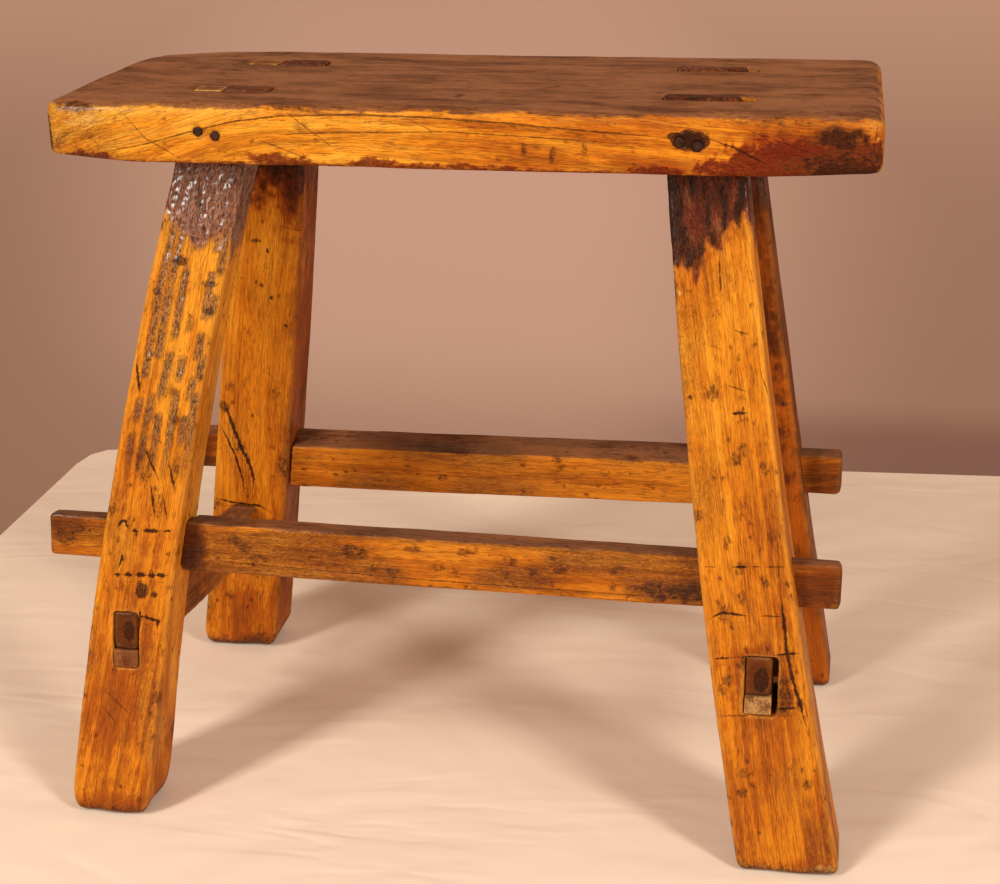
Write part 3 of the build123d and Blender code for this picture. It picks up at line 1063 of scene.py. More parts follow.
class Workshop:
    """What every piece is made with: the frame, the shader groups and the two shape trees."""

    def __init__(self, frame: dict) -> None:
        self.nodes: dict[str, bpy.types.Object] = frame["nodes"]
        self.effects = Effects()
        self.weathering = self.build_weathering()
        self.nailing = self.build_nailing()
        self.mixed: dict[str, bpy.types.Material] = {}

    def mix(self, finish: WoodFinish) -> bpy.types.Material:
        """Material of a finish, made the first time it is asked for."""
        if finish.name not in self.mixed:
            self.mixed[finish.name] = finish.material(self.effects)
        return self.mixed[finish.name]

    def start_tree(self, name: str, *sizes: str) -> tuple[Graph, bpy.types.Node]:
        """Starts a Geometry Nodes tree with a Geometry input, sizes and a Material.

        Args:
            name: the tree's name.
            *sizes: names of its number inputs.

        Returns:
            The graph and its input node.
        """
        tree = bpy.data.node_groups.new(name, "GeometryNodeTree")
        tree.interface.new_socket("Geometry", in_out="INPUT", socket_type="NodeSocketGeometry")
        for label in sizes:
            tree.interface.new_socket(label, in_out="INPUT", socket_type="NodeSocketFloat")
        tree.interface.new_socket("Material", in_out="INPUT", socket_type="NodeSocketMaterial")
        tree.interface.new_socket("Geometry", in_out="OUTPUT", socket_type="NodeSocketGeometry")
        graph = Graph(tree)
        return graph, graph.node("NodeGroupInput")

    def end_tree(self, graph: Graph, given: bpy.types.Node, shape: Socket) -> Tree:
        """Ends a tree in Realize Instances and Set Material.

        Args:
            graph: the tree's graph.
            given: its input node.
            shape: the geometry so far.

        Returns:
            The tree.
        """
        real = graph.put("GeometryNodeRealizeInstances", {0: shape})
        dressed = {0: real, "Material": given.outputs["Material"]}
        dressed = graph.put("GeometryNodeSetMaterial", dressed)
        graph.feed(graph.node("NodeGroupOutput").inputs[0], dressed)
        return graph.tree

    def build_weathering(self) -> Tree:
        """Tool and wear marks that follow the grain, always cut inwards.

        Returns:
            The tree.
        """
        graph, given = self.start_tree(
            "Weathered Timber",
            "Furrow Depth",
            "Furrow Length",
            "Furrow Width",
            "Pit Depth",
            "Hollow Depth",
            "Hollow Size",
            "Seed",
        )
        depth, length, width, pit, hollow, size, seed = given.outputs[1:8]
        grain, wear = (
            graph.put("GeometryNodeInputNamedAttribute", {"Name": name}, data_type="FLOAT_VECTOR")
            for name in ("grain", "wear")
        )
        rough = graph.split(wear)[1]
        moved = graph.vector("ADD", grain, graph.join(seed, seed, seed))
        furrows = graph.vector("DIVIDE", moved, graph.join(length, width, width))
        furrows = graph.noise(furrows, detail=3.0, rough=0.6)
        cut = graph.times(graph.ramp(furrows, 0.45, 0.75), graph.times(depth, rough))
        pits = graph.noise(graph.vector("DIVIDE", moved, (7.0, 2.4, 2.4)), rough=0.6)
        cut = graph.added(graph.ramp(pits, 0.5, 0.68), graph.times(pit, rough), cut)
        hollows = graph.noise(graph.vector("DIVIDE", moved, graph.join(size, size, size)), detail=1.0)
        cut = graph.added(graph.ramp(hollows, 0.3, 0.75), hollow, cut)
        normal = graph.put("GeometryNodeInputNormal", {})
        inwards = graph.scaled(normal, graph.times(cut, -MM))
        placed = graph.put("GeometryNodeSetPosition", {0: given.outputs[0], "Offset": inwards})
        return self.end_tree(graph, given, placed)

    def build_nailing(self) -> Tree:
        """Forged nails on points, each a little different, with their heads facing the points' side.

        Returns:
            The tree.
        """
        graph, given = self.start_tree(
            "Forged Nails", "Head Radius", "Head Height", "Shank Radius", "Length", "Side", "Seed"
        )
        radius, height, shank, length, side, seed = given.outputs[1:7]
        dome = graph.put("GeometryNodeMeshUVSphere", {"Segments": 14, "Rings": 8, "Radius": MM})
        flat = graph.put("GeometryNodeTransform", {0: dome, "Scale": graph.join(radius, radius, height)})
        where = graph.put("GeometryNodeInputPosition", {})
        dents = graph.ramp(graph.noise(where, (450.0, 450.0, 450.0)), 0.35, 0.75, 0.0, -0.32)
        dented = graph.put("GeometryNodeSetPosition", {0: flat, "Offset": graph.scaled(where, dents)})
        rod = {
            "Vertices": 10,
            "Radius Top": graph.times(shank, 0.45 * MM),
            "Radius Bottom": graph.times(shank, MM),
            "Depth": graph.times(length, MM),
        }
        rod = graph.put("GeometryNodeMeshCone", rod)
        both = graph.node("GeometryNodeJoinGeometry")
        graph.feed(both.inputs[0], dented)
        graph.feed(both.inputs[0], rod)
        turn = graph.join(graph.times(side, 0.5 * math.pi), 0.0, 0.0)
        turned = graph.put("GeometryNodeTransform", {0: both.outputs[0], "Rotation": turn})
        spins = {0: (0.0, -3.1, 0.0), 1: (0.0, 3.1, 0.0), "Seed": seed}
        spin = graph.put("FunctionNodeRandomValue", spins, data_type="FLOAT_VECTOR")
        size = graph.put("FunctionNodeRandomValue", {2: 0.84, 3: 0.98, "Seed": seed}, 1, data_type="FLOAT")
        nails = {"Points": given.outputs[0], "Instance": turned, "Rotation": spin, "Scale": size}
        return self.end_tree(graph, given, graph.put("GeometryNodeInstanceOnPoints", nails))

    def shape(
        self, piece: bpy.types.Object, tree: Tree, material: bpy.types.Material, **sizes: float
    ) -> None:
        """Runs a shape tree on a piece and bakes the result into a plain mesh.

        Args:
            piece: the object to change.
            tree: the tree.
            material: its material.
            **sizes: the tree's inputs, with _ for each space.
        """
        modifier = piece.modifiers.new("shape", "NODES")
        modifier.node_group = tree
        for item in tree.interface.items_tree:
            key = item.name.replace(" ", "_").lower()
            if item.in_out == "INPUT" and key in sizes:
                modifier[item.identifier] = float(sizes[key])
            if item.in_out == "INPUT" and item.name == "Material":
                modifier[item.identifier] = material
        graph = bpy.context.evaluated_depsgraph_get()
        baked = bpy.data.meshes.new_from_object(piece.evaluated_get(graph))
        piece.modifiers.clear()
        old = piece.data
        piece.data = baked
        bpy.data.meshes.remove(old)
        baked.name = piece.name
        baked.polygons.foreach_set("use_smooth", np.ones(len(baked.polygons), bool))

    def deliver(self, piece: bpy.types.Object, node: str) -> None:
        """Puts a finished piece in a CAD node's place and reports it.

        Args:
            piece: the finished object.
            node: the node that it stands for.
        """
        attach(piece, "root")
        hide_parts(node)
        log.info("%s: %d faces for %s", piece.name, len(piece.data.polygons), node)


@dataclass
class Timber:
    """A wooden piece on one CAD node, worn and dressed."""

    node: str
    finish: WoodFinish
    slot: Slot = Slot.LEG
    voxel: float = 1.2
    seed: int = 1
    along: Triple = (1.0, 0.0, 0.0)
    across: Triple = (0.0, 0.0, 1.0)
    pith: Place = (-70.0, 20.0)
    wear_rounds: int = 3
    wear_reach: float = 16.0
    hollow_depth: float = 0.35
    hollow_size: float = 45.0
    furrow_depth: float = 0.0
    furrow_length: float = 16.0
    furrow_width: float = 3.0
    pit_depth: float = 0.5
    end_dark: float = 0.3
    patches: dict[Facing, tuple[Patch, ...]] = field(default_factory=dict)
    lines: dict[Facing, tuple[Line, ...]] = field(default_factory=dict)

    def noise(self, stream: int, points: Array, size: float | Triple) -> Array:
        """One of the piece's random fields at the points, with values that far apart."""
        return Noise(self.seed + stream).at(points, size)

    def axes(self) -> Array:
        """Grain directions of the piece.

        Returns:
            Rows along, across and through the wood.
        """
        along = np.array(self.along, float)
        along /= np.linalg.norm(along)
        across = np.array(self.across, float)
        across -= along * float(across @ along)
        across /= np.linalg.norm(across)
        return np.stack([along, across, np.cross(along, across)])

    def centre(self, surface: Surface) -> Array:
        """Middle of the piece."""
        return (surface.points.min(0) + surface.points.max(0)) / 2.0

    def ring_distance(self, grain: Array, points: Array) -> Array:
        """Distance of each point from the middle of the tree, in millimetres."""
        sway = 5.0 * self.noise(Stream.RINGS, grain, (140.0, 90.0, 90.0))
        return np.hypot(grain[:, 1] - self.pith[0], grain[:, 2] - self.pith[1]) + sway

    def bent(self, grain: Array, points: Array) -> Array:
        """Lets the fibres wander a little.

        Args:
            grain: places in grain directions.
            points: places in the stool's frame; not used here.

        Returns:
            The places, shifted across the grain.
        """
        moved = grain.copy()
        moved[:, 1] += 2.5 * self.noise(Stream.FIBRES, grain, (90.0, 60.0, 60.0))
        return moved

    def aged(self, surface: Surface) -> Array:
        """Share of old brown surface at each point."""
        return np.zeros(len(surface.points))

    def shape_wear(self, surface: Surface) -> None:
        """Wears the shape before it is painted."""
        uneven = 0.75 + 0.5 * self.noise(Stream.WEAR, surface.points, 22.0)
        surface.soften(self.wear_rounds, np.clip(uneven, 0.2, 1.2))

    def roughness(self, surface: Surface) -> Array:
        """How weathered each point is, from 0 to 1."""
        return np.zeros(len(surface.points))

    def hue(self, surface: Surface) -> Array:
        """Shift of each point's tone, darker above 0."""
        return np.zeros(len(surface.points))

    def end_grain(self, surface: Surface) -> Array:
        """Share of each point that is a cut end."""
        return eased(np.abs(surface.normals @ self.axes()[0]), 0.6, 0.85)

    def build(self, shop: Workshop) -> bpy.types.Object:
        """Builds, wears, paints and delivers the piece.

        Args:
            shop: what the pieces share.

        Returns:
            The finished object.
        """
        surface = Surface(shop.nodes[self.node], self.voxel)
        self.shape_wear(surface)
        grain = (surface.points - self.centre(surface)) @ self.axes().T
        exposed = surface.evened(surface.exposed(int(self.wear_reach / self.voxel)), 2)
        rough = self.roughness(surface)
        ends = self.end_grain(surface)
        surface.tints[:, Tint.DARK.value] = self.end_dark * ends
        for facing, patches in self.patches.items():
            surface.stain(facing, patches, Noise(self.seed + Stream.STAINS))
        for facing, lines in self.lines.items():
            surface.scribe(facing, lines)
        surface.paint("grain", self.bent(grain, surface.points))
        surface.paint("aged", self.aged(surface))
        surface.paint("ring", self.ring_distance(grain, surface.points))
        # the hue takes in the SHADE patches, some of them painted shade
        hue = self.hue(surface) + surface.tints[:, Tint.SHADE.value]
        surface.paint("wear", np.stack([exposed, rough, hue], axis=1))
        piece = surface.to_object("worn_" + self.node)
        shop.shape(
            piece,
            shop.weathering,
            shop.mix(self.finish),
            furrow_depth=self.furrow_depth,
            furrow_length=self.furrow_length,
            furrow_width=self.furrow_width,
            pit_depth=self.pit_depth,
            hollow_depth=self.hollow_depth,
            hollow_size=self.hollow_size,
            seed=self.seed,
        )
        shop.deliver(piece, self.node)
        return piece


@dataclass
class Seat(Timber):
    """The plank seat."""

    slot: Slot = Slot.SEAT
    left_lift: float = 2.8
    right_lift: float = 2.5
    corner_round: float = 26.0
    corner_pull: float = 0.85
    corner_drop: float = 2.2
    chip_depth: float = 0.9
    chatter_depth: float = 0.7
    end_weather: float = 0.14

    def arch(self, points: Array) -> Array:
        """Rise of the growth lines along the front edge.

        Args:
            points: places in the stool's frame.

        Returns:
            Millimetres, 0 at the arches' top.
        """
        return np.interp(
            points[:, 0],
            (-200.0, -171.0, -144.0, -125.0, -101.0, -75.0, -39.0, 2.0, 36.0, 85.0, 119.0, 221.0),
            (-31.0, -22.0, -16.5, -11.0, -5.0, -1.4, 0.0, -0.7, -2.4, -5.8, -8.0, -15.0),
        )

    def bent(self, grain: Array, points: Array) -> Array:
        """Lets the fibres follow the arches.

        Args:
            grain: places in grain directions.
            points: places in the stool's frame.

        Returns:
            The places, shifted through the plank.
        """
        moved = super().bent(grain, points)
        moved[:, 2] -= self.arch(points)
        return moved

    def ring_distance(self, grain: Array, points: Array) -> Array:
        """Rings that show as long arches on the front edge and run along the top, in millimetres."""
        bowl = np.hypot(points[:, 1] - 20.0, points[:, 2] - 300.0) - 141.0
        return bowl * 1.35 - self.arch(points) + 3.0 * self.noise(Stream.RINGS, points, (120.0, 40.0, 40.0))

    def aged(self, surface: Surface) -> Array:
        """The top and its rounded rim are brown, with a crisp, uneven border.

        Args:
            surface: the seat's surface.

        Returns:
            Numbers from 0 to 1.
        """
        uneven = 0.2 * self.noise(Stream.AGE, surface.points, (14.0, 6.0, 6.0))
        uneven += 0.14 * self.noise(Stream.AGE, surface.points, 3.0)
        top = eased(surface.normals[:, 2] + uneven, 0.62, 0.78)
        sides = 1.0 - surface.looks(Facing.FRONT, 0.1, 0.4)
        return np.maximum(top, 0.35 * sides)

    def shape_wear(self, surface: Surface) -> None:
        """Wears the rim, rounds the left rear corner and lifts the underside at both ends.

        Args:
            surface: the seat's surface.
        """
        super().shape_wear(surface)
        x, y, z = surface.points.T
        depth = np.clip((SEAT_TOP - z) / (SEAT_TOP - SEAT_UNDERSIDE), 0.0, 1.0)
        lift = self.left_lift * eased(x, -150.0, -196.0) + self.right_lift * eased(x, 152.0, 216.0)
        surface.points[:, 2] += lift * depth
        across = (self.corner_round + surface.points.min(0) * (1.0, 0.0, 0.0) - surface.points)[:, 0]
        behind = y - y.max() + self.corner_round
        inside = (across > 0.0) & (behind > 0.0)
        square = (np.maximum(across, 0.0) ** 5 + np.maximum(behind, 0.0) ** 5) ** 0.2
        pull = np.where(inside, 1.0 - square / np.maximum(np.hypot(across, behind), TINY), 0.0)
        surface.points[:, 0] += self.corner_pull * pull * across
        surface.points[:, 1] -= self.corner_pull * pull * behind
        reach = np.hypot(x - x.min(), y - y.max())
        surface.points[:, 2] -= self.corner_drop * eased(reach, 60.0, 5.0) * (1.0 - depth)
        surface.normals = surface.face_up()
        rim = surface.exposed(14)
        chips = eased(self.noise(Stream.CHIPS, surface.points, (7.0, 9.0, 9.0)), 0.25, 0.7)
        chips *= eased(rim, 0.25, 0.9)
        front = eased(y, -70.0, -84.0)
        busy = eased(self.noise(Stream.CHIPS, surface.points, 45.0), -0.1, 0.4)
        chatter = eased(np.abs(x + 59.0), 20.0, 12.0) * eased(np.sin(x * 0.9), 0.1, 0.9)
        chatter = front * chatter * eased(rim, 0.2, 0.8)
        surface.sink(chips * busy * self.chip_depth + chatter * self.chatter_depth)

    def roughness(self, surface: Surface) -> Array:
        """The left end of the front edge is weathered, from 0 to 1."""
        x = surface.points[:, 0] + 8.0 * self.noise(Stream.WEATHER, surface.points, 9.0)
        return self.end_weather * eased(x, -150.0, -172.0) * surface.looks(Facing.FRONT)

    def hue(self, surface: Surface) -> Array:
        """The top is dark and its rim darker, the front edge gold.

        Args:
            surface: the seat's surface.

        Returns:
            Small numbers.
        """
        top = surface.looks(Facing.TOP, 0.45, 0.85)
        front = surface.looks(Facing.FRONT, 0.3, 0.8)
        right = eased(surface.points[:, 0], -60.0, 110.0)
        wave = 0.12 * self.noise(Stream.SEAT_TONE, surface.points, (60.0, 12.0, 12.0))
        return front * (0.62 * right - 0.2) + 0.25 * (1.0 - top) * (1.0 - front) + wave


@dataclass
class Leg(Timber):
    """A splayed leg, by its sizes in the front elevation."""

    across: Triple = (1.0, 0.0, 0.0)
    side: int = 1
    foot_reach: float = 184.0
    head_reach: float = 120.0
    foot_width: float = 46.0
    head_width: float = 40.5
    bow: float = 0.0
    foot_round: float = 9.0
    foot_wear: float = 0.6
    dent_depth: float = 0.9
    top_rough: tuple[Place, Place] = ((-150.0, 330.0), (-105.0, 318.0))
    top_strength: float = 1.0
    top_red: float = 0.6
    top_dark: float = 0.5
    top_aged: float = 0.0
    body_rough: float = 0.12
    furrows: tuple[float, ...] = ()
    furrow_zone: Place = (165.0, 330.0)
    tone: float = 0.0

    def middle_x(self, z: Array) -> Array:
        """Middle of the leg at each height.

        Args:
            z: heights.

        Returns:
            Places along X.
        """
        s = z / SEAT_UNDERSIDE
        straight = self.foot_reach + (self.head_reach - self.foot_reach) * s
        return self.side * (straight + 4.0 * self.bow * s * (1.0 - s))

    def half_width(self, z: Array) -> Array:
        """Half of the leg's width at each height."""
        return (self.foot_width + (self.head_width - self.foot_width) * z / SEAT_UNDERSIDE) / 2.0

    def shape_wear(self, surface: Surface) -> None:
        """Wears the arrises and rounds the foot.

        Args:
            surface: the leg's surface.
        """
        super().shape_wear(surface)
        z = surface.points[:, 2]
        low = z < self.foot_round * 1.2
        radius = self.foot_round * (0.85 + 0.3 * self.noise(Stream.FOOT, surface.points, 18.0))
        rise = np.clip(radius - z, 0.0, radius)
        inset = self.foot_wear * (radius - np.sqrt(np.maximum(radius**2 - rise**2, 0.0)))
        foot = surface.points[low]
        middle = (foot.min(0) + foot.max(0)) / 2.0
        half = (foot.max(0) - foot.min(0)) / 2.0
        for axis in (0, 1):
            away = surface.points[:, axis] - middle[axis]
            surface.points[:, axis] -= np.where(low, inset * away / half[axis], 0.0)
        surface.normals = surface.face_up()
        dents = eased(self.noise(Stream.FOOT, surface.points, (9.0, 9.0, 14.0)), 0.35, 0.8)
        surface.sink(self.dent_depth * (dents * eased(surface.exposed(12), 0.2, 0.8)))

    def top_zone(self, surface: Surface) -> Array:
        """The ragged zone under the seat.

        Args:
            surface: the leg's surface.

        Returns:
            Numbers from 0 to 1.
        """
        x, _, z = surface.points.T
        (x_one, z_one), (x_two, z_two) = self.top_rough
        edge = z_one + (z_two - z_one) * (x - x_one) / (x_two - x_one)
        torn = 16.0 * self.noise(Stream.TOP, surface.points, (7.0, 7.0, 22.0))
        torn += 7.0 * self.noise(Stream.TOP, surface.points, (2.5, 2.5, 9.0))
        return eased(z - edge + torn, -5.0, 7.0)

    def aged(self, surface: Surface) -> Array:
        """Brown tenon top, and a brown zone under the seat, from 0 to 1."""
        tenon = eased(surface.points[:, 2], SEAT_TOP - 8.0, SEAT_TOP - 3.0)
        return np.maximum(tenon, self.top_zone(surface) * self.top_aged)

    def roughness(self, surface: Surface) -> Array:
        """Weathered at the top and along the furrows.

        Args:
            surface: the leg's surface.

        Returns:
            Numbers from 0 to 1.
        """
        x, _, z = surface.points.T
        top = self.top_zone(surface) * self.top_strength * eased(z, SEAT_TOP - 6.0, SEAT_TOP - 14.0)
        front = surface.looks(Facing.FRONT)
        share = (x - self.middle_x(z)) / self.half_width(z)
        low, high = self.furrow_zone
        zone = eased(z, low, low + 40.0) * eased(z, high + 25.0, high)
        grooves = np.zeros(len(x))
        for number, place in enumerate(self.furrows):
            sway = 0.05 * self.noise(Stream.FURROW_SWAY + number, surface.points, (400.0, 400.0, 30.0))
            gap = np.abs(share - place - sway) * self.half_width(z)
            broken = self.noise(Stream.FURROW_GAPS + number, surface.points, (400.0, 400.0, 11.0))
            broken = eased(broken, -0.4, 0.1)
            grooves = np.maximum(grooves, eased(gap, 2.9, 0.9) * broken)
        cloud = eased(self.noise(Stream.CLOUDS, surface.points, (16.0, 16.0, 50.0)), 0.0, 0.6)
        body = self.body_rough * (0.4 + cloud)
        return np.clip(np.maximum(top, np.maximum(grooves * zone * front * 0.9, body)), 0.0, 1.0)

    def hue(self, surface: Surface) -> Array:
        """Darker near the top, lower down and at the sole.

        Args:
            surface: the leg's surface.

        Returns:
            Small numbers.
        """
        z = surface.points[:, 2]
        top = self.top_zone(surface)
        torn = 0.7 + 0.5 * self.noise(Stream.TONE, surface.points, (3.0, 3.0, 14.0))
        surface.tints[:, Tint.RED.value] = np.clip(top * self.top_red * torn, 0.0, 1.0)
        uneven = 0.6 + 1.1 * self.noise(Stream.TONE, surface.points, (2.8, 2.8, 26.0))
        # darker top zone under the seat: partly dark old finish, partly painted shade under the seat
        dirt_and_shade = np.clip(top * self.top_dark * uneven, 0.0, 1.5)
        dirt_and_shade = np.maximum(dirt_and_shade, 0.95 * eased(z, SEAT_TOP - 7.0, SEAT_TOP - 3.0))
        dirt_and_shade = np.maximum(dirt_and_shade, 0.85 * eased(z, 11.0, 1.0))
        surface.tints[:, Tint.DARK.value] = np.maximum(surface.tints[:, Tint.DARK.value], dirt_and_shade)
        lower = 0.4 * eased(z, 260.0, 20.0) + 0.35 * eased(z, 14.0, 2.0)
        return self.tone + lower - 0.1 + 0.12 * self.noise(Stream.TONE, surface.points, (14.0, 14.0, 60.0))


@dataclass
class Rail(Timber):
    """A stretcher."""

    finish: WoodFinish = RAIL_WOOD
    slot: Slot = Slot.RAIL
    end_round: float = 2.6
    end_shade: float = 0.55
    weathered: float = 0.15
    tones: Place = (0.1, 0.1)

    def shape_wear(self, surface: Surface) -> None:
        """Rounds the ends more than the long edges.

        Args:
            surface: the rail's surface.
        """
        super().shape_wear(surface)
        along = self.axes()[0]
        middle = self.centre(surface)
        run = (surface.points - middle) @ along
        for end in (run > 0.0, run < 0.0):
            reach = np.abs(run[end]).max()
            rise = np.clip(self.end_round - (reach - np.abs(run)), 0.0, self.end_round)
            rise = np.where(end, rise, 0.0)
            inset = self.end_round - np.sqrt(np.maximum(self.end_round**2 - rise**2, 0.0))
            tip = surface.points[end & (reach - np.abs(run) < self.end_round)]
            core = (tip.min(0) + tip.max(0)) / 2.0
            half = np.maximum((tip.max(0) - tip.min(0)) / 2.0, 1.0)
            away = surface.points - core
            flat = away - np.outer(away @ along, along)
            surface.points = surface.points - flat / half * inset[:, None]
        surface.normals = surface.face_up()

    def aged(self, surface: Surface) -> Array:
        """Brown tops, from 0 to 1."""
        uneven = 0.3 * self.noise(Stream.AGE, surface.points, (12.0, 6.0, 6.0))
        return eased(surface.normals[:, 2] + uneven, 0.35, 0.75)

    def roughness(self, surface: Surface) -> Array:
        """Weathered in long clouds."""
        clouds = self.noise(Stream.WEATHER, surface.points, (40.0, 12.0, 12.0))
        return self.weathered * eased(clouds, -0.2, 0.3)

    def hue(self, surface: Surface) -> Array:
        """Uneven tone along the rail.

        Args:
            surface: the rail's surface.

        Returns:
            Small numbers.
        """
        run = (surface.points - self.centre(surface)) @ self.axes()[0]
        reach = np.abs(run).max()
        ends = eased(np.abs(run), reach - 32.0, reach - 18.0)
        tone = np.interp(run, (-reach, reach), self.tones) + self.end_shade * ends
        return tone + 0.25 * self.noise(Stream.TONE, surface.points, (30.0, 30.0, 10.0))


@dataclass
class Wedge(Timber):
    """A small wedge, driven in beside a tenon."""

    slot: Slot = Slot.WEDGE
    across: Triple = (1.0, 0.0, 0.0)
    voxel: float = 0.7
    wear_rounds: int = 1
    hollow_depth: float = 0.12
    hollow_size: float = 7.0


@dataclass
class NailPair:
    """Two forged nails through an edge of the seat."""

    node: str
    side: int
    head_radius: float = 3.15
    head_height: float = 0.9
    shank_radius: float = 1.4
    length: float = 43.0
    seed: int = 1

    def build(self, shop: Workshop, material: bpy.types.Material) -> bpy.types.Object:
        """Makes the nails where the CAD node has them.

        Args:
            shop: what the pieces share.
            material: the iron.

        Returns:
            The finished object.
        """
        source = shop.nodes[self.node].data
        spots = np.array([v.co for v in source.vertices])
        split = (spots[:, 0].min() + spots[:, 0].max()) / 2.0
        heads = []
        for part in (spots[spots[:, 0] < split], spots[spots[:, 0] >= split]):
            low, high = part.min(0), part.max(0)
            centre = (low + high) / 2.0
            face = low[1] if self.side < 0 else high[1]
            heads.append((centre[0], face - self.side * self.head_height * MM, centre[2]))
        mesh = bpy.data.meshes.new(self.node)
        mesh.from_pydata(heads, [], [])
        piece = add_object("forged_" + self.node, mesh)
        shop.shape(
            piece,
            shop.nailing,
            material,
            head_radius=self.head_radius,
            head_height=self.head_height,
            shank_radius=self.shank_radius,
            length=self.length,
            side=self.side,
            seed=self.seed,
        )
        shop.deliver(piece, self.node)
        return piece


@dataclass
class Studio:
    """Table top, backdrop, lamps, sky and camera. Lengths are metres, angles radians."""

    table_colour: Colour = (0.80, 0.64, 0.495)
    wall_painted_lit: Colour = (0.59, 0.365, 0.280)
    wall_painted_shade: Colour = (0.355, 0.202, 0.140)
    wall_corner_painted_shade: Colour = (0.25, 0.130, 0.095)
    table_back: float = 0.434
    table_skew: float = 0.185
    table_left: float = -0.413
    wall_back: float = 1.5
    lens: float = 67.47
    yaw: float = 0.1791
    pitch: float = 0.35971
    roll: float = -0.01378
    eye: Triple = (0.196428, -0.982657, 0.564602)
    backdrop: Colour = (0.40, 0.25, 0.18)
    left_power: float = 72.0
    right_power: float = 54.0
    left_place: Triple = (-0.57, -0.82, 0.64)
    right_place: Triple = (0.76, -0.65, 0.64)
    lamp_colour: Colour = (1.0, 0.96, 0.90)
    lamp_aim: float = 0.2
    lamp_width: float = 0.42
    lamp_height: float = 1.88
    lamp_distance: float = 3.0
    sky_colour: Colour = (1.0, 0.80, 0.66)
    sky_strength: float = 0.46

    def build(self) -> None:
        """Builds everything round the stool."""
        self.build_table()
        self.build_wall()
        self.build_light()
        self.build_camera()

    def mixed(self, graph: Graph, share: Socket, one: bpy.types.Node, two: bpy.types.Node) -> Socket:
        """Mixes two shaders, with that share of the second."""
        return graph.put("ShaderNodeMixShader", {0: share, 1: one.outputs[0], 2: two.outputs[0]})

    def plain(self, name: str, colour: Colour) -> tuple[bpy.types.Material, Graph, bpy.types.Node]:
        """Starts a matt material.

        Args:
            name: the material's name.
            colour: its colour.

        Returns:
            The material, its graph and its shader.
        """
        made, graph = blank_material(name)
        shader = graph.node("ShaderNodeBsdfPrincipled")
        shader.inputs["Base Color"].default_value = (*colour, 1.0)
        shader.inputs["Roughness"].default_value = 0.9
        shader.inputs["Specular IOR Level"].default_value = 0.1
        return made, graph, shader

    def staged(self, name: str, corners: list[Triple], material: bpy.types.Material) -> None:
        """Adds a flat stage piece.

        Args:
            name: the piece's name.
            corners: its corners in turn.
            material: its material.
        """
        mesh = bpy.data.meshes.new(name)
        mesh.from_pydata(corners, [], [tuple(range(len(corners)))])
        mesh.materials.append(material)
        piece = add_object(name, mesh)

    def build_table(self) -> None:
        """Builds the pale cloth-covered table top."""
        material, graph, shader = self.plain("pale cloth", self.table_colour)
        place = graph.node("ShaderNodeTexCoord").outputs["Object"]
        folds = graph.noise(place, (3.4, 5.5, 1.0), detail=3.0, rough=0.45, warp=0.6)
        creases = graph.noise(place, (5.0, 13.0, 1.0), detail=2.0, rough=0.45, warp=1.4)
        creases = graph.math("ABSOLUTE", graph.math("SUBTRACT", creases, 0.5))
        height = graph.added(graph.ramp(creases, 0.0, 0.2), 0.035, folds)
        graph.feed(shader.inputs["Normal"], graph.bump(height, 0.45, 0.03))
        graph.show(shader.outputs[0])
        back, left = self.table_back, self.table_left
        round_ends = ((0.035, 0.0), (0.014, -0.005), (0.004, -0.017), (0.0, -0.04))
        corners = [(left - 0.01, -3.0, 0.0), (3.0, -3.0, 0.0), (3.0, back + self.table_skew, 0.0)]
        corners += [(left + in_x, back + in_y, 0.0) for in_x, in_y in round_ends]
        self.staged("table_top", corners, material)

    def build_wall(self) -> None:
        """Builds the backdrop, which is clear from behind so that other views pass through it."""
        material, graph, shader = self.plain("backdrop", self.wall_painted_lit)
        place = graph.node("ShaderNodeTexCoord").outputs["Object"]
        # painted light and shade: lit round x = -0.32 and towards the top, darker at the sides and bottom,
        # with painted shade in the lower right corner
        x, _, z = graph.split(place)
        side = graph.ramp(graph.math("ABSOLUTE", graph.math("ADD", x, 0.32)), 0.15, 0.72, 1.0, 0.0)
        middle = graph.times(side, graph.ramp(z, -0.46, -0.2, 0.2, 1.0))
        middle = graph.times(middle, graph.ramp(z, -0.05, 0.25, 1.0, 0.6))
        share = graph.math("MAXIMUM", middle, graph.ramp(z, -0.05, 0.3, 0.0, 0.5))
        colour = graph.blend(share, self.wall_painted_shade, self.wall_painted_lit)
        corner = graph.times(graph.ramp(x, -0.2, 0.35), graph.ramp(z, -0.29, -0.36))
        colour = graph.blend(corner, colour, self.wall_corner_painted_shade)
        graph.feed(shader.inputs["Base Color"], colour)
        clear = graph.node("ShaderNodeBsdfTransparent")
        facing = graph.node("ShaderNodeNewGeometry").outputs["Backfacing"]
        graph.show(self.mixed(graph, facing, shader, clear))
        back = self.wall_back
        corners = [(-4.0, back, -2.5), (4.0, back, -2.5), (4.0, back, 3.0), (-4.0, back, 3.0)]
        self.staged("backdrop", corners, material)

    def hang(self, name: str, power: float, place: Triple) -> None:
        """Hangs a tall lamp that faces the stool.

        Args:
            name: the lamp's name.
            power: its power in watts.
            place: direction of the lamp from the stool.
        """
        lamp = bpy.data.lights.new(name, "AREA")
        lamp.shape = "RECTANGLE"
        lamp.size = self.lamp_width
        lamp.size_y = self.lamp_height
        lamp.energy = power
        lamp.color = self.lamp_colour
        held = add_object(name, lamp)
        away = Vector(place).normalized()
        held.location = Vector((0.0, 0.0, self.lamp_aim)) + away * self.lamp_distance
        held.rotation_mode = "QUATERNION"
        held.rotation_quaternion = away.to_track_quat("Z", "Y")

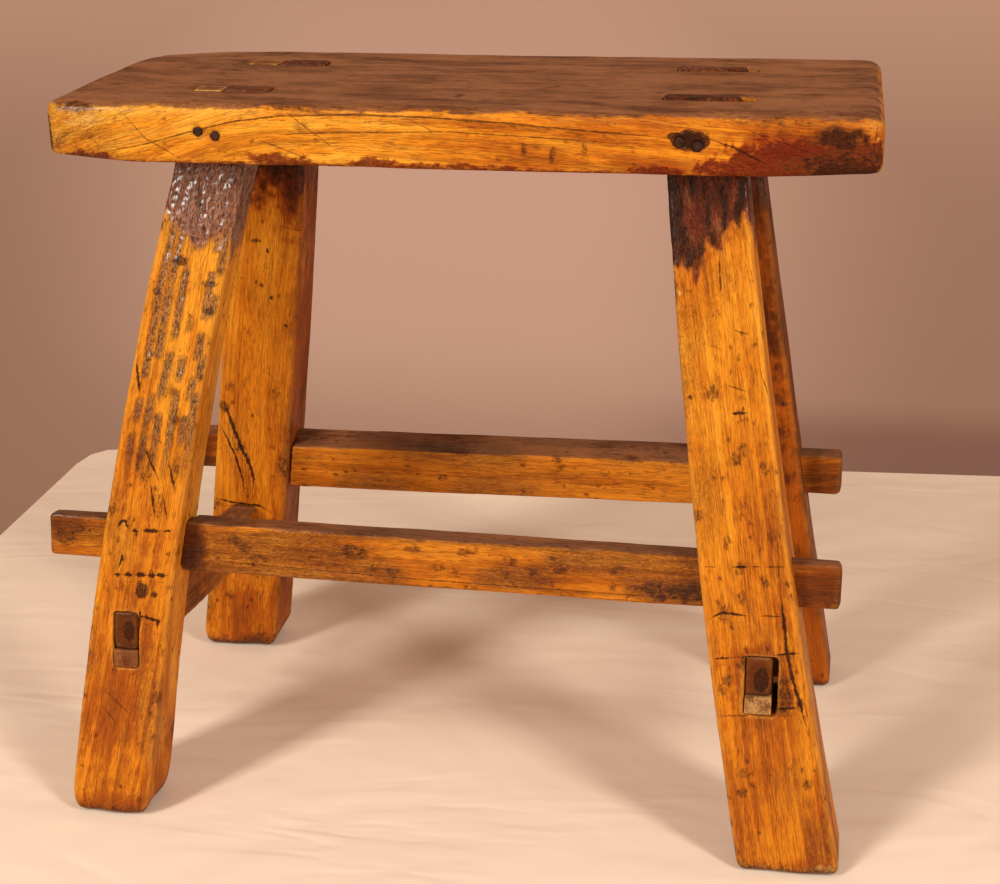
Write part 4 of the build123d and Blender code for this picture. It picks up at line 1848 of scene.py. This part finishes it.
    def build_light(self) -> None:
        """Builds the two lamps in front and the sky that fills the shadows."""
        self.hang("left_lamp", self.left_power, self.left_place)
        self.hang("right_lamp", self.right_power, self.right_place)
        world = bpy.data.worlds.new("studio sky")
        world.use_nodes = True
        world.node_tree.nodes.clear()
        graph = Graph(world.node_tree)
        fill = graph.node("ShaderNodeBackground")
        fill.inputs["Color"].default_value = (*self.sky_colour, 1.0)
        fill.inputs["Strength"].default_value = self.sky_strength
        seen = graph.node("ShaderNodeBackground")
        seen.inputs["Color"].default_value = (*self.backdrop, 1.0)
        seen.inputs["Strength"].default_value = 1.0
        path = graph.node("ShaderNodeLightPath").outputs
        shown = graph.math("MAXIMUM", path["Is Camera Ray"], path["Is Glossy Ray"])
        shown = graph.math("MAXIMUM", shown, path["Is Transmission Ray"])
        graph.show(self.mixed(graph, shown, fill, seen), "ShaderNodeOutputWorld")
        bpy.context.scene.world = world

    def build_camera(self) -> None:
        """Builds the camera at the photograph's viewpoint."""
        data = bpy.data.cameras.new("viewpoint")
        data.sensor_fit = "HORIZONTAL"
        data.sensor_width = 36.0
        data.lens = self.lens
        data.clip_start = 0.05
        data.clip_end = 20.0
        camera = add_object("viewpoint", data)
        flat = math.cos(self.pitch)
        ahead = Vector((-math.sin(self.yaw) * flat, math.cos(self.yaw) * flat, -math.sin(self.pitch)))
        right = Vector((math.cos(self.yaw), math.sin(self.yaw), 0.0))
        up = right.cross(ahead)
        rolled_right = right * math.cos(self.roll) + up * math.sin(self.roll)
        rolled_up = up * math.cos(self.roll) - right * math.sin(self.roll)
        turn = Matrix((rolled_right, rolled_up, -ahead)).transposed()
        camera.rotation_mode = "QUATERNION"
        camera.rotation_quaternion = turn.to_quaternion()
        camera.location = self.eye
        bpy.context.scene.camera = camera


def leg_wood(
    name: str, seed: float, ring_size: float, crest_and_glint: float = 0.2, rubbed: float = 0.35
) -> WoodFinish:
    """The legs' finish.

    Args:
        name: its name.
        seed: start of its figure.
        ring_size: width of its rings.
        crest_and_glint: share of pale crests, partly bare fibres and partly painted glints.
        rubbed: share of the rubbed arrises' tone.

    Returns:
        The finish.
    """
    return WoodFinish(
        name,
        light=(0.80, 0.30, 0.018),
        middle=(0.66, 0.20, 0.007),
        dark=(0.38, 0.080, 0.004),
        aged_light=(0.60, 0.185, 0.070),
        aged_dark=(0.19, 0.050, 0.020),
        ring_size=ring_size,
        crest_and_glint_share=crest_and_glint,
        rubbed_share=rubbed,
        spot_share=0.75,
        seed=seed,
    )


def seat() -> Seat:
    """The seat with the marks on its front edge and top.

    Returns:
        The seat.
    """
    front_lines = strokes(
        (0.5, 0.08, -172, 368.5, -144, 374.6, -125, 380, -101, 386, -75, 389.7, -39, 391, 2, 390.3, 36,
         388.6, 85, 385, 120, 383),
        (0.4, 0.1, -76, 380.5, -49, 381.8, 12, 383.6, 50, 382, 86, 380.3),
        (0.35, 0.25, -159, 392, -146, 377, -123, 364), (0.35, 0.25, -71, 391, -47, 373.5),
        (0.35, 0.25, -89, 378.5, -55, 366), (0.35, 0.25, -8.5, 389, 4, 383),
        (0.6, 0.25, 138, 383, 150, 379, 168, 370), (0.22, 0.25, 152, 389, 196, 374),
        (0.4, 0.25, 217.5, 391, 216, 377),
    )
    front_patches = ovals({
        RED: (
            (10, 364, 215, 2.4, 0.9), (-182, 366, 18, 4, 1.1), (-75, 366.5, 21, 4.5, 1.2, -6),
            (-28, 366.5, 13, 4, 1.1), (20, 365.5, 46, 2.4, 0.9), (113, 366, 18, 3.2, 1.4),
            (148, 368.5, 19, 7, 1.0, 16), (184, 370, 46, 12, 2.6, 4), (166, 376, 30, 9, 0.9, 12),
        ),
        DARK: (
            (198, 371, 27, 9.5, 0.9, 4), (203, 367.5, 22, 5, 2.0, 4), (200, 384, 14, 5.5, 1.15),
            (128.5, 381.8, 9.4, 4.7, 4), (-114, 379.2, 9, 4.5, 0.35), (-182, 392, 11, 3.4, 0.8),
            (-199.5, 376, 3, 14, 0.9), (-60, 393.5, 22, 1.8, 0.6), (60, 393.5, 30, 1.5, 0.45),
            (166, 392, 30, 2.5, 0.5), (48, 376, 2, 5, 0.8, 12), (62, 373, 2.5, 5, 0.8, -10),
            (78, 377, 2, 4, 0.7, 8),
        ),
        SHADE: (
            (190, 377, 34, 14, 1),
        ),
        PALE: (
            (-179, 386, 15, 5, 0.9), (-192, 376, 6, 8, 0.6), (218.5, 378, 3.5, 9, 0.8),
        ),
    })
    top_patches = ovals({
        DARK: (
            (150, -76, 75, 7, 0.55, -2), (-60, -81, 150, 5, 0.45), (183, -28, 13, 4, 0.7),
            (0, -6, 3, 2.5, 0.9), (9, -50, 3, 7, 0.9), (-110, -48, 26, 9, 0.45), (-106, 39, 26, 9, 0.45),
            (133, 40, 30, 9, 0.4), (135, -41, 30, 9, 0.4),
        ),
    })
    noise = np.random.default_rng(TOP_SEED)
    streaks = []
    for _ in range(TOP_STREAKS):
        x, y = noise.uniform(-190.0, 170.0), noise.uniform(-80.0, 80.0)
        length, tilt = noise.uniform(15.0, 60.0), noise.uniform(-3.0, 3.0)
        streaks.append(Line(((x, y), (x + length, y + tilt)), float(noise.uniform(0.25, 0.5))))
    return Seat(
        "seat",
        SEAT_WOOD,
        voxel=1.5,
        seed=3,
        across=(0.0, 1.0, 0.0),
        hollow_depth=0.6,
        hollow_size=55.0,
        furrow_depth=0.8,
        patches={Facing.FRONT: front_patches, Facing.TOP: top_patches},
        lines={Facing.FRONT: front_lines, Facing.TOP: tuple(streaks)},
    )


def front_left_leg() -> Leg:
    """The front left leg with its weathered front and layout lines.

    Returns:
        The leg.
    """
    lines = strokes(
        (0.9, 0.25, -163.9, 256, -163, 246, -162, 237), (0.7, 0.25, -160, 211, -157, 202, -152, 192),
        (0.7, 0.25, -147, 203, -143, 187), (0.7, 0.25, -157, 192, -154.7, 170),
        (0.6, 0.25, -150, 184, -148, 171),
        (0.9, 0.1, -175.8, 165.5, -173.8, 168.6, -171.8, 169, -170.1, 165),
        (1.5, 0.1, -167.3, 163.5, -165, 163.6), (1.3, 0.1, -161, 164, -153, 164.2),
        (1.3, 0.1, -149.5, 164.3, -146.2, 164.7), (1.3, 0.25, -173.2, 150.5, -175.6, 143.5),
        (1.8, 0.1, -177.5, 138.9, -176, 139), (1.9, 0.1, -172, 139.2, -168.5, 139.3),
        (1.8, 0.1, -165.5, 139.4, -161, 139.4), (1.8, 0.1, -158.5, 139.5, -156, 139.6),
        (2, 0.1, -154, 139.7, -150, 139.9), (1.3, 0.1, -165, 117, -154, 114.6, -154.4, 111),
        (0.4, 0.25, -185.3, 73.6, -171, 60.4), (0.35, 0.25, -189, 66, -178, 54),
        (1, 0.05, -168, 88, -163.8, 120),
    )
    patches = ovals({
        DARK: (
            (-138, 308.5, 5, 3.5, 1), (-123, 297.3, 5.5, 2, 0.9), (-152.5, 292.6, 2.5, 2.5, 0.9),
            (-123, 283, 3, 2.5, 0.9), (-160, 200, 8, 13, 0.5), (-144, 195, 4, 10, 0.55),
            (-153, 181, 5, 13, 0.5), (-163, 131, 4, 5, 1.3), (-156, 129, 2, 2, 1.2), (-198, 95, 5, 20, 0.6),
        ),
        SHADE: (
            (-158, 190, 34, 48, 0.45), (-186, 8, 34, 9, 0.6), (-180, 80, 40, 90, 0.42),
        ),
        RED: (
            (-170.8, 108, 8, 15, 0.5), (-174, 92, 8, 6, 0.6),
        ),
    })
    return Leg(
        "front_left_leg",
        leg_wood("front left leg wood", 11.0, 4.5, 0.95),
        voxel=0.95,
        wear_rounds=4,
        seed=11,
        along=(0.178, 0.162, 1.0),
        pith=(-95.0, 25.0),
        side=-1,
        foot_reach=184.75,
        bow=7.0,
        tone=-0.22,
        foot_round=20.0,
        top_rough=((-154.8, 328.0), (-103.0, 312.0)),
        top_red=0.45,
        top_dark=0.5,
        top_aged=0.9,
        body_rough=0.11,
        furrows=(-0.62, -0.35, -0.03, 0.31, 0.68, 0.84),
        furrow_zone=(185.0, 330.0),
        furrow_depth=0.8,
        furrow_width=2.0,
        pit_depth=0.25,
        patches={Facing.FRONT: patches},
        lines={Facing.FRONT: lines},
    )


def front_right_leg() -> Leg:
    """The front right leg with its dark top and long crack.

    Returns:
        The leg.
    """
    lines = strokes(
        (0.6, 0.25, 143.4, 321, 145.2, 300), (0.4, 0.25, 151.9, 284, 160.5, 281.8),
        (0.4, 0.25, 140.7, 276, 146.8, 273.8), (0.4, 0.25, 149.5, 256.4, 160.7, 253.3),
        (0.5, 0.25, 166.2, 264.6, 170.8, 252.3), (0.35, 0.1, 178.8, 178.8, 180.7, 158),
        (1.2, 0.25, 180.7, 156, 184.1, 136.5, 186.3, 120.9, 190.1, 105.3, 194.8, 92.3, 199.1, 77.7),
        (0.4, 0.1, 142.8, 162.7, 148.2, 163), (0.9, 0.25, 156.7, 163.5, 164.5, 164),
        (0.4, 0.1, 166, 164.1, 170.6, 164.4), (0.5, 0.25, 173.7, 164.5, 182.8, 165.1),
        (0.8, 0.2, 146.2, 135.6, 150.2, 138.5, 153.2, 139.2, 165.6, 138.4),
        (0.5, 0.25, 171.7, 138.8, 184, 139.1), (0.9, 0.25, 149.3, 114.6, 157.1, 115.7),
        (0.35, 0.1, 158, 116, 166.5, 116.8), (0.4, 0.1, 153.9, 84.4, 167.9, 85.5),
        (1.1, 0.25, 153, 242, 160, 242.6), (0.8, 0.1, 178.4, 116, 182.7, 88.8),
        (1, 0.2, 180, 118.5, 192, 120.5), (0.7, 0.1, 181, 90, 193, 91.5),
    )
    patches = ovals({
        DARK: (
            (117, 340, 7, 28, 1.3), (120, 300, 4, 14, 0.7), (135.8, 323, 1.6, 1.6, 1),
            (131.6, 249, 1.6, 1.6, 0.9), (166, 113, 5, 5, 0.9), (186, 96, 5, 12, 0.8),
            (156, 218.7, 3.4, 4.4, 0.62), (159.4, 223.4, 3.4, 4.4, 0.62), (170.4, 214.8, 3.4, 4.4, 0.62),
            (153.3, 175.8, 3.4, 4.4, 0.62), (176, 180.2, 3.4, 4.4, 0.62), (162.1, 147.6, 3.4, 4.4, 0.62),
            (153.2, 140.8, 3.4, 4.4, 0.62), (174, 157.8, 3.4, 4.4, 0.62), (160.5, 162.8, 3.4, 4.4, 0.62),
            (156.7, 104, 3.4, 4.4, 0.62), (154, 98.4, 3.4, 4.4, 0.62), (137.9, 188.9, 3.4, 4.4, 0.62),
            (166.5, 44, 3.5, 3, 0.8), (194.3, 93.4, 3, 4, 0.7), (200.4, 51, 3, 4, 0.7),
        ),
        # the first SHADE patch darkens the top under the seat: partly dark old finish, partly painted shade
        SHADE: (
            (136, 352, 26, 26, 1.1), (173, 106, 16, 20, 0.9), (170, 150, 26, 60, 0.3),
        ),
        PALE: (
            (122.5, 301.5, 4, 1.6, 1), (212, 5, 7, 4, 0.9),
        ),
        RED: (
            (172, 130, 10, 10, 0.6),
        ),
    })
    return Leg(
        "front_right_leg",
        leg_wood("front right leg wood", 23.0, 5.0),
        seed=23,
        along=(-0.158, 0.162, 1.0),
        pith=(110.0, 20.0),
        foot_reach=192.75,
        head_reach=135.25,
        foot_width=54.5,
        bow=-4.2,
        top_rough=((121.0, 318.0), (156.0, 327.0)),
        top_strength=0.5,
        top_red=1.3,
        top_dark=1.15,
        top_aged=0.6,
        furrow_depth=0.7,
        patches={Facing.FRONT: patches},
        lines={Facing.FRONT: lines},
    )


def rear_left_leg() -> Leg:
    """The rear left leg with its branching crack.

    Returns:
        The leg.
    """
    lines = strokes(
        (1.7, 0.15, -163.8, 182, -157.3, 154.3, -152.4, 140.4, -151, 129.7, -152.3, 123.8),
        (0.8, 0.25, -169.1, 169.9, -161.4, 147, -158.3, 129.2, -158.9, 118.3),
        (1.1, 0.25, -179, 114.8, -165.5, 112, -149.2, 110.8, -143, 106.8),
        (0.4, 0.1, -116.4, 301.1, -102.9, 297.8), (0.6, 0.1, -126.6, 139.7, -126.2, 131.2),
    )
    patches = ovals({
        # the first two SHADE patches and the first DARK patch darken the top under the seat: partly dark
        # old finish, partly painted shade
        SHADE: (
            (-115, 356, 40, 36, 2.4), (-103, 335, 13, 36, 1.8, -8), (-150, 30, 34, 34, 0.4),
        ),
        DARK: (
            (-103, 352, 22, 26, 1.1, -8), (-150, 6, 34, 8, 0.7), (-131.8, 291.2, 4, 1.6, 0.9),
            (-125.9, 285.2, 1.8, 1.8, 0.9), (-131.3, 263.4, 1.8, 1.8, 0.9), (-126, 255.3, 1.8, 1.8, 0.9),
            (-119.3, 237.3, 1.8, 1.8, 0.9), (-164.6, 180.6, 4, 5, 0.9), (-131, 141, 6, 11, 0.7),
        ),
        RED: (
            (-159.5, 106, 13, 5, 0.9),
        ),
    })
    return Leg(
        "rear_left_leg",
        leg_wood("rear left leg wood", 37.0, 7.0, rubbed=0.2),
        seed=37,
        along=(0.16, -0.163, 1.0),
        pith=(30.0, -60.0),
        side=-1,
        foot_reach=175.75,
        head_reach=117.25,
        foot_width=50.0,
        head_width=44.5,
        bow=-1.7,
        foot_round=18.0,
        top_rough=((-140.0, 345.0), (-100.0, 318.0)),
        top_strength=0.2,
        top_red=0.9,
        top_dark=0.5,
        body_rough=0.06,
        furrow_depth=0.5,
        # the SHADE patch on the right side face is painted shade
        patches={Facing.FRONT: patches, Facing.RIGHT: ovals({SHADE: ((80, 180, 60, 260, 0.9),)})},
        lines={Facing.FRONT: lines},
    )


def rear_right_leg() -> Leg:
    """The rear right leg, mostly hidden from the front.

    Returns:
        The leg.
    """
    return Leg(
        "rear_right_leg",
        leg_wood("rear right leg wood", 41.0, 6.0, rubbed=0.1),
        seed=41,
        along=(-0.146, -0.163, 1.0),
        pith=(-40.0, 70.0),
        foot_reach=187.75,
        head_reach=134.75,
        foot_width=50.0,
        head_width=44.0,
        bow=-0.6,
        top_rough=((115.0, 335.0), (155.0, 325.0)),
        top_strength=0.4,
        top_red=0.8,
        top_dark=0.6,
        body_rough=0.08,
        tone=0.6,
        furrow_depth=0.5,
        patches={
            Facing.FRONT: ovals({
                DARK: ((176.3, 200.2, 2.5, 2.5, 0.9),),
                SHADE: ((145, 300, 50, 170, 0.9),),
            }),
            # painted shade on the right side face
            Facing.RIGHT: ovals({SHADE: ((70, 290, 60, 180, 0.9),)}),
        },
    )


def rails() -> tuple[Rail, ...]:
    """The four stretchers.

    Returns:
        The rails.
    """
    front_patches = ovals({
        DARK: (
            (-211, 153, 8, 6, 0.7), (-203, 158, 4, 3, 0.6), (216, 150, 9, 10, 0.5),
            (-113.6, 156.8, 5.5, 3.2, 0.65), (-108, 152.7, 5.5, 3.2, 0.65), (-101, 147.5, 5.5, 3.2, 0.65),
            (-14.8, 157.7, 5.5, 3.2, 0.65), (14.7, 157.8, 5.5, 3.2, 0.65), (-1.6, 148.1, 5.5, 3.2, 0.65),
            (-26, 144, 5.5, 3.2, 0.65), (-46.3, 154.2, 11, 4.5, 0.8), (125, 143, 22, 6, 0.9),
        ),
        # the first SHADE patch is a painted shadow of the front left leg on the rail, just right of the leg
        SHADE: (
            (-139, 150, 8, 24, 2.2), (216, 150, 26, 22, 0.6), (-60, 150, 60, 20, 0.3),
        ),
    })
    return (
        Rail(
            "front_rail",
            seed=5,
            pith=(60.0, 15.0),
            tones=(-0.4, 0.05),
            weathered=0.22,
            patches={Facing.FRONT: front_patches},
            lines={Facing.FRONT: strokes((0.4, 0.1, -131.0, 144.6, 0.0, 141.0, 135.0, 139.4))},
        ),
        Rail("rear_rail", seed=6, pith=(70.0, -20.0), end_shade=1.4, tones=(0.3, -1.0)),
        Rail(
            "left_rail",
            seed=7,
            along=(0.05, 1.0, 0.0),
            across=(1.0, 0.0, 0.0),
            pith=(40.0, 30.0),
            end_dark=0.5,
            patches={Facing.FRONT: ovals({
                DARK: ((-171, 108, 4, 7, 1.2),),
                SHADE: ((-171, 108, 12, 16, 1.5),),
            })},
        ),
        Rail(
            "right_rail",
            seed=8,
            along=(-0.02, 1.0, 0.0),
            across=(1.0, 0.0, 0.0),
            pith=(-45.0, 30.0),
            end_dark=0.4,
            patches={Facing.FRONT: ovals({
                DARK: ((174, 105, 4.5, 7, 1.8),),
                SHADE: ((173, 105, 12, 16, 1.2),),
            })},
        ),
    )


def wedges() -> tuple[Wedge, ...]:
    """The four seat wedges and four rail wedges.

    Returns:
        The wedges.
    """
    upright = (
        ("front_left", SLIP_WOOD),
        ("front_right", WEDGE_WOOD),
        ("rear_left", SLIP_WOOD),
        ("rear_right", WEDGE_WOOD),
    )
    lying = (
        ("left_rail_front", WEDGE_WOOD),
        ("left_rail_rear", WEDGE_WOOD),
        ("right_rail_front", PALE_WOOD),
        ("right_rail_rear", WEDGE_WOOD),
    )
    seat_wedges = (
        Wedge(f"{place}_seat_wedge", wood, seed=60 + number, along=(0.0, 0.0, 1.0))
        for number, (place, wood) in enumerate(upright)
    )
    rail_wedges = (
        Wedge(f"{place}_wedge", wood, seed=70 + number, along=(0.0, 1.0, 0.0))
        for number, (place, wood) in enumerate(lying)
    )
    return (*seat_wedges, *rail_wedges)


def nail_pairs() -> tuple[NailPair, ...]:
    """The nails of both edges.

    Returns:
        The four pairs.
    """
    return (
        NailPair("front_left_seat_nails", -1, seed=1),
        NailPair("front_right_seat_nails", -1, seed=2),
        NailPair("rear_left_seat_nails", 1, seed=3),
        NailPair("rear_right_seat_nails", 1, seed=4),
    )


def corners(box: tuple[Vector, Vector]) -> list[list[float]]:
    """A box as plain lists of numbers."""
    return [[round(float(number), 6) for number in corner] for corner in box]


def main() -> None:
    """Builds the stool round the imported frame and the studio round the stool."""
    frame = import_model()
    bpy.context.scene.view_settings.view_transform = "Standard"
    Studio().build()
    shop = Workshop(frame)
    seat().build(shop)
    for make in (front_left_leg, front_right_leg, rear_left_leg, rear_right_leg):
        make().build(shop)
    for rail in rails():
        rail.build(shop)
    for wedge in wedges():
        wedge.build(shop)
    iron = IronFinish().material()
    for pair in nail_pairs():
        pair.build(shop, iron)


if __name__ == "__main__":
    logging.basicConfig(level=logging.INFO, format="%(message)s")
    main()
